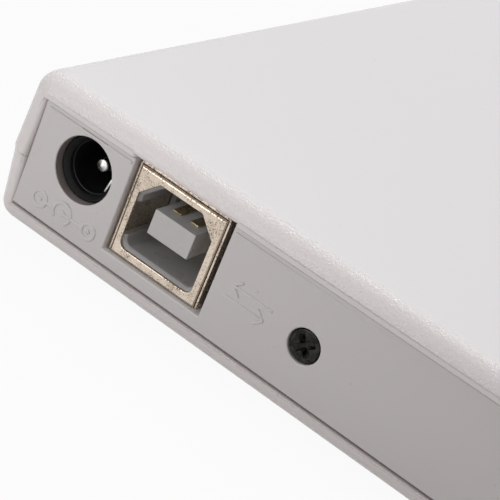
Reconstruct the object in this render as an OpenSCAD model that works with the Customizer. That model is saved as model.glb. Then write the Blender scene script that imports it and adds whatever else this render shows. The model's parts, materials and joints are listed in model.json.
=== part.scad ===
// External disc drive: a moulded two-part case round a slim tray drive and its bridge board.
// The tray opens towards -Y, the sockets are at +Y, and the feet stand on Z = 0.

/* [Case] */
// Width of the case
case_w = 142; // [138:1:160]
// Depth from the front of the bezel to the rear rim
case_d = 152; // [150:1:170]
// Height of the case without its feet
case_h = 18.6; // [18:0.2:24]
// Thickness of the moulded walls
wall = 1.6; // [1.2:0.1:2]
// Thickness of the rear rim round the panel
rim_t = 2.2; // [1.8:0.1:3]
// Radius of the upright corners
corner_r = 3.4; // [3.2:0.1:6]
// Radius of the edge round the top
top_r = 2.8; // [1.5:0.1:3]
// Radius of the edge round the bottom
base_r = 1.8; // [1:0.1:2.4]
// Height of the parting line above the case's underside
parting_h = 8.2; // [6:0.2:10]
// How far the upper shell's sides lean in
upper_draft = 0.35; // [0:0.05:0.55]
// How far the lower shell's sides lean in
lower_draft = 0.6; // [0:0.05:1]
// Step between the upper and the lower shell at the parting line
parting_step = 0.12; // [0:0.02:0.3]

/* [Feet and pads] */
// Height of a rubber foot below the case
foot_h = 1.2; // [0.8:0.1:3]
// Diameter of a rubber foot
foot_d = 10; // [6:0.5:14]
// Distance of the feet from the case's sides
foot_inset = 14; // [10:1:25]
// Depth of the seats that the feet are glued into
foot_seat = 0.4; // [0.2:0.1:0.6]

/* [Rear panel] */
// Width of the side rim left of and right of the panel
panel_side = 3.4; // [3:0.1:6]
// Height of the panel's lower edge above the case's underside
panel_low = 2.4; // [2.2:0.1:3]
// Distance of the panel's upper edge from the case's top
panel_up = 3; // [2.9:0.05:3.2]
// Depth of the panel's face behind the rim
panel_recess = 0.7; // [0.3:0.1:1.2]
// Thickness of the flange behind the rim
flange_t = 1.2; // [0.8:0.1:2]
// Gap round the panel in its opening
panel_gap = 0.15; // [0.05:0.05:0.3]
// Gap under the panel
panel_foot_gap = 0.3; // [0.1:0.05:0.4]
// Distance of the panel screws from the case's sides
screw_in = 42.7; // [41:0.1:50]
// Height of the panel screws above the case's underside
screw_h = 8.4; // [6:0.1:10]
// Diameter of a panel screw's head
screw_head_d = 3.9; // [3:0.1:4.4]
// Diameter of a panel screw's thread
screw_d = 2; // [1.6:0.1:2.5]

/* [Sockets] */
// Distance of the data socket's middle from the case's +X side
usb_in = 22.9; // [20:0.1:24]
// Width of the data socket's shell
usb_w = 12.04; // [12:0.01:12.1]
// Height of the data socket's shell
usb_h = 11.1; // [11:0.01:11.2]
// Depth of the data socket's shell
usb_d = 16; // [12:0.5:16]
// Height of the data socket's underside above the case's underside
usb_low = 4.15; // [4:0.05:4.6]
// Distance of the inlet's axis from the case's +X side
inlet_in = 10.6; // [10:0.1:11]
// Height of the inlet's axis above the board
inlet_up = 6.6; // [6:0.1:7]
// Diameter of the panel's hole round the inlet
inlet_hole_d = 7.7; // [7.4:0.1:8.2]
// Diameter of the inlet's bore
inlet_bore_d = 6.1; // [6:0.1:6.6]
// Diameter of the inlet's centre pin
inlet_pin_d = 1.65; // [1.3:0.05:2.1]

/* [Slim drive] */
// Room between the slim drive and the case's outer side
drive_side = 7; // [5:0.5:12]
// Room for the board between the slim drive and the rear panel
socket_room = 19.6; // [19:0.1:24]
// Thickness of the foam pads between the slim drive and the roof
pad_t = 1.6; // [1:0.1:2]
// Height of the slim drive's underside above the case's underside
drive_low = 2.7; // [2.6:0.1:3]
// Thickness of the drive's sheet steel
sheet = 0.6; // [0.5:0.1:0.7]
// Thickness of the tray's bezel
bezel_t = 4.6; // [4:0.1:5]
// Gap round the bezel in the case's front
bezel_gap = 0.4; // [0.3:0.05:0.6]

/* [Disc and pickup] */
// How far the disc recess reaches past the tray's sides
recess_over = 0.2; // [0:0.05:0.5]
// Radius of the hub that takes the disc's hole
hub_r = 7.4; // [7.3:0.02:7.45]
// Radius of the disc seat on the turntable
seat_r = 14; // [12:0.5:14.5]
// Smallest reading radius
read_min = 24; // [22:0.5:26]
// Reading radius at which the sled stands at rest
read_rest = 36; // [24:0.5:56]
// Radius of the guide rods
rod_r = 1.2; // [1:0.05:1.25]
// Clearance of a shaft in its bearing
run_gap = 0.05; // [0.02:0.01:0.09]
// Clearance between pieces that slide past each other
slide_gap = 0.3; // [0.2:0.05:0.4]

/* [Hidden] */
$fn = 48;
// Overlap that keeps a cut from ending on a face
cut = 1;

// Case places
case_z = foot_h;
case_top = case_z + case_h;
parting_z = case_z + parting_h;
rear_y = case_d / 2;
bezel_y = -case_d / 2;
bezel_proud = 0.6;
case_y = bezel_y + bezel_proud;
inner_w = case_w - 2 * wall - 2 * max(upper_draft, lower_draft);
floor_z = case_z + wall;
roof_z = case_top - wall;
front_in = case_y + wall;
rear_in = rear_y - rim_t;

// Rear panel places
panel_w = case_w - 2 * panel_side;
panel_z = case_z + panel_low;
panel_h = case_h - panel_low - panel_up;
panel_y = rear_y - panel_recess;
flange_over = 1;
flange_drop = 0.35;
flange_in = rear_in - flange_t;
screw_x = case_w / 2 - screw_in;
screw_z = case_z + screw_h;
screw_head_t = 0.9;
screw_sink = 0.15;
screw_len = 7.4;
boss_w = 6.4;
boss_d = 6;

// Socket and board places
board_t = 1.6;
board_z = case_z + usb_low - board_t;
board_top = case_z + usb_low;
usb_x = case_w / 2 - usb_in;
usb_back = 0.5;
usb_y = panel_y - usb_back;
usb_wall = 0.35;
usb_hole_left = 0.6;
usb_hole_right = 1.27;
usb_hole_low = 0.1;
usb_hole_up = 0.65;
inlet_x = case_w / 2 - inlet_in;
inlet_z = board_top + inlet_up;
inlet_recess = 1.1;
inlet_y = panel_y - inlet_recess;
inlet_nose_gap = 0.1;
inlet_w = 9;
inlet_d = 13;

// Drive places
drive_w = case_w - 2 * drive_side;
drive_h = case_h - drive_low - wall - pad_t;
drive_z = case_z + drive_low;
drive_top = drive_z + drive_h;
bezel_seat = 0.4;
drive_y = bezel_y + bezel_t + bezel_seat;
drive_rear = flange_in - socket_room;
bed_z = drive_z + sheet;
lid_z = drive_top - sheet;
chassis_w = drive_w - 2 * sheet;
chassis_wall = 0.8;
chassis_in = chassis_w / 2 - chassis_wall;
bezel_trim = 0.1;
bezel_w = drive_w;
bezel_h = drive_h - 2 * bezel_trim;
bezel_z = drive_z + bezel_trim;

// Bridge board and the plug between it and the drive
plug_half = 20;
plug_over = 1;
plug_y = drive_rear + plug_over;
plug_up = 0.4;
plug_z = board_top + plug_up;
plug_h = 4;
board_back = 2.2;
board_y = drive_rear + board_back;
board_gap = 0.6;
board_rear = flange_in - board_gap;
board_side = 5;
board_x1 = case_w / 2 - board_side;
board_over = 2;
board_x0 = -plug_half - board_over;

// Tray places
tray_gap = 0.6;
tray_z = bed_z + tray_gap;
tray_cover_t = 0.4;
tray_base = tray_z + tray_cover_t;
disc_room = 4.2;
tray_floor = lid_z - disc_room;
tray_floor_t = 1.2;
tray_under = tray_floor - tray_floor_t;
tray_head = 1.2;
tray_top = lid_z - tray_head;
tray_y = bezel_y + bezel_t;
tray_front_t = 3.4;
tray_back = 17;
tray_rear = drive_rear - tray_back;
tray_rear_t = 2;
tray_wall = 3.8;

// Rails: a guide on the chassis, a rail, and a groove in the tray's side
rail_up = 5.2;
rail_z = drive_z + rail_up;
guide_t = 0.6;
guide_lip = 1.2;
guide_lip_t = 1;
guide_half = 4;
guide_front = 2;
guide_back = 32;
rail_bar_t = 0.8;
rail_bar_half = guide_half - guide_lip_t - slide_gap;
rail_bar_x = chassis_in - guide_t - slide_gap - rail_bar_t;
rail_tongue_half = 1.2;
tray_side = 0.6;
tray_half = rail_bar_x - tray_side;
tray_groove = 1.4;
rail_tongue_x = tray_half - tray_groove + slide_gap;
rail_front = 9;
rail_y = drive_y + rail_front;
cavity_half = tray_half - tray_wall;

// Disc recess
recess_r = tray_half + recess_over;
recess_front = 1.3;
disc_y = tray_y + recess_front + recess_r;

// Traverse: s runs along the sled's way from the spindle, t across it
sled_angle = -135;
frame_gap = 0.4;
frame_z = tray_base + frame_gap;
frame_t = 0.8;
rod_up = 1.5;
rod_z = frame_z + frame_t + rod_up;
rod_t = 10.4;
rod_block = 2;
rod_lug = 0.6;
rod_lip = 0.3;
sled_half_s = 7;
sled_half_t = 12.2;
sled_stop = 0.5;
sled_up = 0.5;
sled_head = 0.3;
sled_z0 = frame_z + sled_up;
sled_z1 = tray_under - sled_head;
window_gap = 0.4;
frame_room = 0.7;
frame_tip = rod_t + 2;
frame_end = (cavity_half - frame_room - frame_tip * abs(sin(sled_angle))) / abs(cos(sled_angle));
rod_end = frame_end - rod_block;
rod_start = read_min - sled_half_s - rod_block - sled_stop;
read_max = rod_end - sled_half_s - sled_stop;
screw_t = 18;
lead_r = 1.2;
lead_start = 10;
lead_short = 2;
lead_end = read_max - lead_short;
lead_block = 1.5;
lead_half = 2;
lead_neck = 2;
lead_core_r = 0.9;
stepper_r = 2.2;
stepper_len = 16;
stepper_gap = 0.2;
damper_s = 15;
damper_t = 14;
damper_far_s = 9;
damper_far_t = 17;
damper_places = [[-damper_s, -damper_t], [-damper_s, damper_t], [read_max - damper_far_s, -damper_far_t]];
damper_waist_r = 2.15;
damper_r = 3.2;
damper_pin_r = 1.3;
damper_lip = 0.3;
damper_top = 1;

// Outlines of the traverse frame and of the cover over it
frame_tail = 20;
frame_wide = screw_t + 3.5;
frame_neck = rod_t + 8.1;
frame_edge = 0.5;
wide_s = read_max - 13;
neck_s = rod_end - 4.5;
frame_outline = [[-frame_tail, -frame_neck], [wide_s, -frame_wide], [neck_s, -frame_neck],
    [frame_end, -frame_tip], [frame_end, frame_tip], [neck_s, frame_neck],
    [lead_end + lead_block + frame_edge, screw_t + lead_half + frame_edge], [wide_s, frame_wide],
    [-frame_tail, frame_wide]];
cover_rim = 2;
cover_tip = 9;
cover_wide = frame_wide + 1;
cover_outline = [[-frame_tail - cover_rim, -frame_wide], [wide_s + cover_rim, -cover_wide],
    [neck_s - 1, -frame_neck], [frame_end + cover_rim, -cover_tip], [frame_end + cover_rim, cover_tip],
    [neck_s - 1, frame_neck], [wide_s + cover_rim, cover_wide], [-frame_tail - cover_rim, frame_wide]];
cover_t = 0.3;
floor_window_r = 17;
floor_window_t = 14;
slot_half = 6.5;

// Spindle
seat_up = 1.2;
seat_z = tray_floor + seat_up;
motor_base_r = 13;
motor_base_t = 0.8;
motor_z = frame_z + frame_t;
stator_r = 10.4;
rotor_r = 12;
rotor_wall = 0.8;
seat_t = 1;
rotor_top = seat_z - seat_t;
rotor_gap = 0.3;
rotor_low = 0.5;
shaft_r = 1;
shaft_hole_r = 2;
hub_h = 1.7;
hub_nose = 0.8;

// Bezel controls
control_up = 4;
control_z = bezel_z + control_up;
button_side = 18;
button_x = bezel_w / 2 - button_side;
button_w = 10;
button_h = 3.2;
button_gap = 0.15;
button_travel = 0.8;
button_t = 2;
button_stem_r = 1.2;
stem_gap = 0.1;
lens_far = 16;
lens_x = button_x - lens_far;
lens_r = 0.9;
pinhole_far = 10;
pinhole_x = button_x - pinhole_far;
pinhole_r = 0.6;
switch_gap = 0.9;
switch_y = tray_y + tray_front_t + switch_gap;

// Latch beside the tray's rear wall, and the plunger that starts the tray on its way out
latch_side = 14.3;
latch_x = latch_side - tray_half;
latch_back = 22;
latch_y = tray_rear - latch_back;
latch_len = 19;
latch_half = 1.2;
latch_hook = 1.6;
latch_hook_gap = 0.8;
latch_post_far = 6;
latch_post_x = latch_x + latch_post_far;
latch_post_r = 1.2;
latch_post_back = 4;
latch_post_y = latch_y + latch_len - latch_post_back;
latch_t = 1.2;
latch_drop = 3.4;
latch_z = tray_under - latch_drop;
latch_pin_r = 1.5;
latch_pin_end = 0.6;
latch_slot_in = 3;
latch_slot_out = 2.5;
latch_slot = [latch_x - latch_slot_in, latch_post_x + latch_slot_out];
plunger_side = 10.3;
plunger_x = tray_half - plunger_side;
plunger_z = (tray_base + tray_under) / 2;
plunger_r = 1;
plunger_collar_r = 1.9;
plunger_collar_t = 1;
plunger_len = 14;
plunger_gap = 0.2;

// Half outline of the case in radius and height, for corners revolved about their own axes
arc_steps = 8;
function arc(cr, cz, r, from, to) =
    [for (i = [0 : arc_steps]) [cr + r * cos(from + (to - from) * i / arc_steps),
        cz + r * sin(from + (to - from) * i / arc_steps)]];
upper_profile = concat([[0, parting_z], [corner_r, parting_z]],
    arc(corner_r - upper_draft - top_r, case_top - top_r, top_r, 0, 90), [[0, case_top]]);
lower_profile = concat([[0, case_z]],
    arc(corner_r - lower_draft - base_r - parting_step, case_z + base_r, base_r, -90, 0),
    [[corner_r - parting_step, parting_z], [0, parting_z]]);

// Box from two opposite corners
module span(a, b) {
    translate(a) cube(b - a);
}

// Cylinder along +Y from y0 to y1
module along_y(x, y0, y1, z, r) {
    translate([x, y0, z]) rotate([-90, 0, 0]) cylinder(h = y1 - y0, r = r);
}

// Upright cylinder from z0 to z1
module post(x, y, z0, z1, r) {
    translate([x, y, z0]) cylinder(h = z1 - z0, r = r);
}

// Body of the case between two heights: four turned corners, four straight edges and the core
module case_body(profile, z0, z1) {
    x = case_w / 2 - corner_r;
    y0 = case_y + corner_r;
    y1 = rear_y - corner_r;
    for (c = [[x, y1, 0], [-x, y1, 90], [-x, y0, 180], [x, y0, 270]])
        translate([c[0], c[1], 0]) rotate([0, 0, c[2]]) rotate_extrude(angle = 90) polygon(profile);
    for (e = [[x, y1, 0, y1 - y0], [-x, y1, 90, 2 * x], [-x, y0, 180, y1 - y0], [x, y0, 270, 2 * x]])
        translate([e[0], e[1], 0]) rotate([90, 0, e[2]]) linear_extrude(e[3]) polygon(profile);
    span([-x, y0, z0], [x, y1, z1]);
}

// Openings in the case's front and rear walls
module case_openings() {
    span([-bezel_w / 2 - bezel_gap, case_y - cut, bezel_z - bezel_gap],
        [bezel_w / 2 + bezel_gap, front_in + cut, bezel_z + bezel_h + bezel_gap]);
    span([-panel_w / 2 - panel_gap, rear_in - cut, panel_z - panel_foot_gap],
        [panel_w / 2 + panel_gap, rear_y + cut, panel_z + panel_h + panel_gap]);
    span([usb_x - usb_w / 2 - usb_hole_right, rear_in - cut, parting_z],
        [usb_x + usb_w / 2 + usb_hole_left, rear_y + cut, board_top + usb_h + usb_hole_up]);
}

module upper_shell() {
    color("gainsboro") difference() {
        case_body(upper_profile, parting_z, case_top);
        span([-inner_w / 2, front_in, parting_z - cut], [inner_w / 2, rear_in, roof_z]);
        case_openings();
    }
}

locator_t = 1.6;
locator_gap = 0.15;
locator_inset = 14;
locator_drop = 0.5;
locator_ys = [drive_y + locator_inset, (drive_y + drive_rear) / 2, drive_rear - locator_inset];
rear_stop_side = 8;
rear_stop_half = 3;
rib_half = 1;
rib_side = 12;
rib_mid = 18;
rib_front = 8;
rib_back = 6;
pad_r = 2.5;
pad_inset = 3;
post_inset = 4;
post_back = 7;
board_pads = [[board_x0 + post_inset, board_rear - post_inset], [board_x1 - pad_inset, board_y + pad_inset]];
board_screw_places = [[board_x0 + post_inset, board_y + post_back],
    [usb_x - usb_w / 2 - post_inset, board_y + pad_inset]];
board_screw_r = 1;
board_head_r = 1.9;
board_head_t = 1;

module lower_shell() {
    color("gainsboro") difference() {
        union() {
            difference() {
                case_body(lower_profile, case_z, parting_z);
                span([-inner_w / 2, front_in, floor_z], [inner_w / 2, rear_in, parting_z + cut]);
                case_openings();
            }
            // Ribs that carry the drive
            for (side = [-1, 1], x = [rib_mid, drive_w / 2 - rib_side])
                span([side * x - rib_half, drive_y + rib_front, floor_z],
                    [side * x + rib_half, drive_rear - rib_back, drive_z]);
            // Locators beside and behind the drive
            for (side = [-1, 1], y = locator_ys)
                span([side > 0 ? drive_w / 2 + locator_gap : -inner_w / 2, y, floor_z],
                    [side > 0 ? inner_w / 2 : -drive_w / 2 - locator_gap, y + locator_t,
                        parting_z - locator_drop]);
            for (x = [rear_stop_side - drive_w / 2, drive_w / 2 - rear_stop_side])
                span([x - rear_stop_half, drive_rear + locator_gap, floor_z],
                    [x + rear_stop_half, drive_rear + locator_gap + locator_t, parting_z - locator_drop]);
            // Bosses behind the rear panel
            for (side = [-1, 1])
                span([side * screw_x - boss_w / 2, flange_in - boss_d, floor_z],
                    [side * screw_x + boss_w / 2, flange_in, screw_z + boss_w / 2]);
            // Pads and screw posts under the board
            for (p = concat(board_pads, board_screw_places))
                post(p[0], p[1], floor_z, board_z, pad_r);
        }
        for (side = [-1, 1])
            along_y(side * screw_x, flange_in - boss_d - cut, flange_in + cut, screw_z,
                screw_d / 2 + run_gap);
        for (p = board_screw_places)
            post(p[0], p[1], floor_z - wall / 2, board_z + cut, board_screw_r + run_gap);
        for (p = foot_places)
            post(p[0], p[1], case_z - cut, case_z + foot_seat, foot_d / 2 + panel_gap);
    }
}

foot_places = [for (x = [-1, 1], y = [case_y + foot_inset, rear_y - foot_inset])
    [x * (case_w / 2 - foot_inset), y]];
foot_edge = 0.5;

module rubber_feet() {
    color("dimgray") for (p = foot_places)
        translate([p[0], p[1], 0]) rotate_extrude()
            polygon([[0, 0], [foot_d / 2 - foot_edge, 0], [foot_d / 2, foot_edge],
                [foot_d / 2, foot_h + foot_seat], [0, foot_h + foot_seat]]);
}

module rear_panel() {
    color("lightgray") difference() {
        union() {
            span([-panel_w / 2, rear_in, panel_z], [panel_w / 2, panel_y, panel_z + panel_h]);
            span([-panel_w / 2 - flange_over, flange_in, panel_z - flange_drop],
                [panel_w / 2 + flange_over, rear_in, panel_z + panel_h + flange_over]);
        }
        span([usb_x - usb_w / 2 - usb_hole_right, flange_in - cut, board_top - usb_hole_low],
            [usb_x + usb_w / 2 + usb_hole_left, panel_y + cut, case_top]);
        along_y(inlet_x, flange_in - cut, panel_y + cut, inlet_z, inlet_hole_d / 2);
        for (side = [-1, 1]) {
            along_y(side * screw_x, flange_in - cut, panel_y + cut, screw_z, screw_d / 2 + panel_gap);
            along_y(side * screw_x, panel_y - screw_sink - screw_head_t, panel_y + cut, screw_z,
                screw_head_d / 2 + panel_gap / 2);
        }
    }
}

cross_w = 0.7;
cross_deep = 0.55;
cross_len = 2.5;

// Countersunk cross of a screw head, cut along +Y at the head's face
module cross_cut(x, y, z) {
    for (a = [0, 90])
        translate([x, y, z]) rotate([0, a, 0])
            span([-cross_len / 2, -cross_deep, -cross_w / 2], [cross_len / 2, cut, cross_w / 2]);
}

module panel_screws() {
    head_y = panel_y - screw_sink;
    color("black") for (side = [-1, 1])
        difference() {
            union() {
                along_y(side * screw_x, head_y - screw_head_t, head_y, screw_z, screw_head_d / 2);
                along_y(side * screw_x, head_y - screw_head_t - screw_len, head_y - screw_head_t, screw_z,
                    screw_d / 2);
            }
            cross_cut(side * screw_x, head_y, screw_z);
        }
}

cushion_side = 19;
cushion_inset = 22;
cushion_w = 12;
cushion_l = 20;

module cushion_pads() {
    x = drive_w / 2 - cushion_side;
    color("gray") for (side = [-1, 1], y = [drive_y + cushion_inset, drive_rear - cushion_inset])
        span([side * x - cushion_w / 2, y - cushion_l / 2, drive_top],
            [side * x + cushion_w / 2, y + cushion_l / 2, roof_z]);
}

module bridge_board() {
    color("seagreen") difference() {
        span([board_x0, board_y, board_z], [board_x1, board_rear, board_top]);
        span([screw_x - boss_w / 2 - slide_gap, flange_in - boss_d - slide_gap, board_z - cut],
            [screw_x + boss_w / 2 + slide_gap, board_rear + cut, board_top + cut]);
        for (p = board_screw_places)
            post(p[0], p[1], board_z - cut, board_top + cut, board_screw_r + panel_gap);
    }
}

module board_screws() {
    color("silver") for (p = board_screw_places) {
        post(p[0], p[1], board_top, board_top + board_head_t, board_head_r);
        post(p[0], p[1], floor_z, board_top, board_screw_r);
    }
}

chip_in = 16;
chip_x = board_x0 + chip_in;
chip_w = 10;
chip_gap = 0.6;
chip_y = board_rear - chip_w / 2 - chip_gap;
chip_t = 1.2;
chip_lead = 1;
chip_up = 0.1;
chip_pins = 12;
chip_pin_w = 0.4;
chip_pin_t = 0.3;
chip_pin_edge = 0.5;

// Controller in a flat package, with a row of leads along two sides
module bridge_chip() {
    x0 = chip_x - chip_w / 2;
    y0 = chip_y - chip_w / 2;
    pitch = (chip_w - 2 * chip_pin_edge - chip_pin_w) / (chip_pins - 1);
    color("darkslategray") {
        span([x0, y0 + chip_lead, board_top + chip_up],
            [x0 + chip_w, y0 + chip_w - chip_lead, board_top + chip_up + chip_t]);
        for (i = [0 : chip_pins - 1])
            span([x0 + chip_pin_edge + i * pitch, y0, board_top],
                [x0 + chip_pin_edge + i * pitch + chip_pin_w, y0 + chip_w, board_top + chip_pin_t]);
    }
}

crystal_w = 5.5;
crystal_d = 4;
crystal_h = 3.5;
crystal_base_t = 0.5;
crystal_step = 0.6;
crystal_gap = 2.6;
crystal_x = screw_x - boss_w / 2 - crystal_gap - crystal_w;
crystal_y = board_rear - 7;
regulator_w = 6.5;
regulator_d = 6;
regulator_h = 2.3;
regulator_tab = 1;
regulator_tab_t = 0.6;
regulator_x = crystal_x - crystal_gap - regulator_w;
regulator_y = board_rear - 8;

module regulator() {
    color("black") {
        span([regulator_x, regulator_y, board_top],
            [regulator_x + regulator_w, regulator_y + regulator_d, board_top + regulator_h]);
        span([regulator_x + regulator_tab_t, regulator_y - regulator_tab, board_top],
            [regulator_x + regulator_w - regulator_tab_t, regulator_y, board_top + regulator_tab_t]);
    }
}

module crystal() {
    color("silver") {
        span([crystal_x, crystal_y, board_top],
            [crystal_x + crystal_w, crystal_y + crystal_d, board_top + crystal_base_t]);
        span([crystal_x + crystal_step, crystal_y + crystal_base_t, board_top + crystal_base_t],
            [crystal_x + crystal_w - crystal_step, crystal_y + crystal_d - crystal_base_t,
                board_top + crystal_h]);
    }
}

can_r = 2.4;
can_h = 5.4;
can_inset = 4;
can_pitch = 5.5;
can_x = (screw_x + boss_w / 2 + usb_x - usb_w / 2) / 2;
can_far_y = 6.6;
can_places = [[can_x, board_rear - can_inset], [can_x, board_rear - can_inset - can_pitch],
    [screw_x - boss_w / 2, board_y + can_far_y]];

module capacitors() {
    color("lightsteelblue") for (p = can_places)
        post(p[0], p[1], board_top, board_top + can_h, can_r);
}

socket_deep = 4;
socket_head = 1;

module board_connector() {
    color("ivory") span([-plug_half, plug_y, board_top],
        [plug_half, board_y + socket_deep, board_top + plug_h + socket_head]);
}

// Data socket: the window in its front plate, wide side down, with cut upper corners
window_w = 10.3;
window_h = 9.1;
window_low = 1.1;
window_cut = 2.2;
window_r = 0.9;
cavity_inset = 0.3;
cavity_deep = 9;
tongue_w = 5.7;
tongue_h = 3.1;
tongue_low = 4.05;
tongue_back = 0.4;

// Outline of the window, drawn in with the middle of its lower edge at the origin
module window_outline(inset) {
    w = window_w / 2 - inset;
    h = window_h - inset;
    polygon(concat([[-w, h - window_cut], [-w + window_cut, h], [w - window_cut, h], [w, h - window_cut]],
        arc(w - window_r, inset + window_r, window_r, 0, -90),
        arc(-w + window_r, inset + window_r, window_r, -90, -180)));
}

// Cut with the window's outline from y1 inwards to y0
module window_cut_through(inset, y0, y1) {
    translate([usb_x, y1, board_top + window_low]) rotate([90, 0, 0])
        linear_extrude(y1 - y0) window_outline(inset);
}

module usb_shell() {
    color("tan") difference() {
        span([usb_x - usb_w / 2, usb_y - usb_d, board_top], [usb_x + usb_w / 2, usb_y, board_top + usb_h]);
        span([usb_x - usb_w / 2 + usb_wall, usb_y - usb_d - cut, board_top + usb_wall],
            [usb_x + usb_w / 2 - usb_wall, usb_y - usb_wall, board_top + usb_h - usb_wall]);
        window_cut_through(0, usb_y - usb_wall - cut, usb_y + cut);
    }
}

insulator_y = usb_y - usb_wall;
insulator_fit = 0.02;
side_window_low = 2.55;
side_window_z = board_top + side_window_low;
side_window_end = 1;
side_window_h = 4.2;

module usb_insulator() {
    half = usb_w / 2 - usb_wall - insulator_fit;
    inner_half = window_w / 2 - cavity_inset;
    color("gray") difference() {
        span([usb_x - half, usb_y - usb_d, board_top + usb_wall + insulator_fit],
            [usb_x + half, insulator_y, board_top + usb_h - usb_wall - insulator_fit]);
        difference() {
            window_cut_through(cavity_inset, insulator_y - cavity_deep, insulator_y + cut);
            span([usb_x - tongue_w / 2, insulator_y - cavity_deep - cut, board_top + tongue_low],
                [usb_x + tongue_w / 2, insulator_y - tongue_back, board_top + tongue_low + tongue_h]);
        }
        // Windows in both side walls that bare the steel behind them
        for (side = [-1, 1])
            span([usb_x + (side > 0 ? inner_half - cut / 2 : -half - cut),
                    insulator_y - cavity_deep + side_window_end, side_window_z],
                [usb_x + (side > 0 ? half + cut : -inner_half + cut / 2), insulator_y + cut,
                    side_window_z + side_window_h]);
    }
}

contact_w = 1.2;
contact_t = 0.2;
contact_x = 1.25;
contact_back = 1.8;

module usb_contacts() {
    color("gold") for (side = [-1, 1], up = [0, 1])
        span([usb_x + side * contact_x - contact_w / 2, insulator_y - cavity_deep,
                board_top + tongue_low + (up > 0 ? tongue_h : -contact_t)],
            [usb_x + side * contact_x + contact_w / 2, insulator_y - tongue_back - contact_back,
                board_top + tongue_low + (up > 0 ? tongue_h + contact_t : 0)]);
}

inlet_gap = 0.2;
inlet_back = flange_in - inlet_gap;
inlet_bore_deep = 9;
mouth_deep = 0.15;
mouth_lip = 0.15;
pin_back = 2.2;
inlet_head = 4.4;
inlet_up_h = inlet_up + inlet_head;

module inlet_body() {
    color("black") difference() {
        union() {
            span([inlet_x - inlet_w / 2, inlet_back - inlet_d, board_top],
                [inlet_x + inlet_w / 2, inlet_back, board_top + inlet_up_h]);
            along_y(inlet_x, inlet_back, inlet_y, inlet_z, inlet_hole_d / 2 - inlet_nose_gap);
        }
        along_y(inlet_x, inlet_y - inlet_bore_deep, inlet_y + cut, inlet_z, inlet_bore_d / 2);
        // Broken edge that leads the plug in
        translate([inlet_x, inlet_y - mouth_deep, inlet_z]) rotate([-90, 0, 0])
            cylinder(h = mouth_deep, r1 = inlet_bore_d / 2, r2 = inlet_bore_d / 2 + mouth_lip);
    }
}

module inlet_pin() {
    r = inlet_pin_d / 2;
    tip = inlet_y - pin_back;
    color("silver") {
        along_y(inlet_x, inlet_y - inlet_bore_deep, tip - r, inlet_z, r);
        translate([inlet_x, tip - r, inlet_z]) rotate([-90, 0, 0]) difference() {
            sphere(r = r);
            translate([-r, -r, -2 * r]) cube(2 * r);
        }
    }
}

spring_angle = 192;
spring_w = 1.8;
spring_shift = 0.58;
spring_t = 0.3;
spring_in = 0.42;
spring_end = 1.2;

module inlet_spring() {
    color("silver") translate([inlet_x, inlet_y - inlet_bore_deep, inlet_z]) rotate([0, -spring_angle, 0])
        span([inlet_bore_d / 2 - spring_in - spring_t, 0, spring_shift - spring_w / 2],
            [inlet_bore_d / 2 - spring_in, inlet_bore_deep - spring_end, spring_shift + spring_w / 2]);
}

// Drive chassis: a steel pan with tabs for the cover's screws and a post for the latch
tab_w = 4;
tab_inset = 12;
tab_ys = [drive_y + tab_inset, drive_rear - tab_inset];
stop_gap = 1.2;
stop_y = tray_rear + stop_gap;
stop_t = 0.8;
stop_half = 2;
stop_up = 2;

module drive_chassis() {
    half = chassis_w / 2;
    color("silver") {
        difference() {
            span([-half, drive_y, drive_z], [half, drive_rear, lid_z]);
            span([-chassis_in, drive_y - cut, bed_z], [chassis_in, drive_rear - chassis_wall, lid_z + cut]);
            span([-plug_half - slide_gap, drive_rear - chassis_wall - cut, plug_z - slide_gap],
                [plug_half + slide_gap, drive_rear + cut, plug_z + plug_h + slide_gap]);
        }
        for (side = [-1, 1], y = tab_ys)
            difference() {
                span([side > 0 ? chassis_in - tab_w : -chassis_in, y - tab_w / 2, lid_z - sheet],
                    [side > 0 ? chassis_in : tab_w - chassis_in, y + tab_w / 2, lid_z]);
                post(side * (chassis_in - tab_w / 2), y, lid_z - sheet - cut, lid_z + cut,
                    cover_screw_r + run_gap);
            }
        post(latch_post_x, latch_post_y, bed_z, latch_z + latch_t + slide_gap, latch_post_r);
        span([plunger_x - stop_half, stop_y, bed_z],
            [plunger_x + stop_half, stop_y + stop_t, plunger_z + stop_up]);
    }
}

cover_screw_r = 0.7;
cover_head_r = 1.4;
cover_skirt = 7;

module drive_cover() {
    half = drive_w / 2;
    color("silver") difference() {
        union() {
            span([-half, drive_y, lid_z], [half, drive_rear, drive_top]);
            for (side = [-1, 1])
                span([side > 0 ? half - sheet : -half, drive_y, lid_z - cover_skirt],
                    [side > 0 ? half : sheet - half, drive_rear, lid_z]);
        }
        for (side = [-1, 1], y = tab_ys)
            translate([side * (chassis_in - tab_w / 2), y, lid_z])
                cylinder(h = sheet, r1 = cover_screw_r + run_gap, r2 = cover_head_r + run_gap);
    }
}

module cover_screws() {
    color("dimgray") for (side = [-1, 1], y = tab_ys)
        translate([side * (chassis_in - tab_w / 2), y, 0]) {
            translate([0, 0, lid_z]) cylinder(h = sheet, r1 = cover_screw_r, r2 = cover_head_r);
            translate([0, 0, lid_z - sheet]) cylinder(h = sheet, r = cover_screw_r);
        }
}

logic_side = 6;
logic_x1 = plunger_x - logic_side;
logic_left = 4.6;
logic_x0 = logic_left - chassis_in;
logic_gap = 0.6;
logic_y = stop_y + logic_gap;
logic_rear = drive_rear - chassis_wall - 0.2;
logic_z = bed_z;
logic_t = 1;

module drive_board() {
    color("seagreen") span([logic_x0, logic_y, logic_z], [logic_x1, logic_rear, logic_z + logic_t]);
}

decoder_w = 11;
decoder_in = 14;
driver_w = 7;
driver_in = 18;
drive_chip_t = 1.2;
drive_chip_front = 1;
drive_chip_d = 10;

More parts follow.
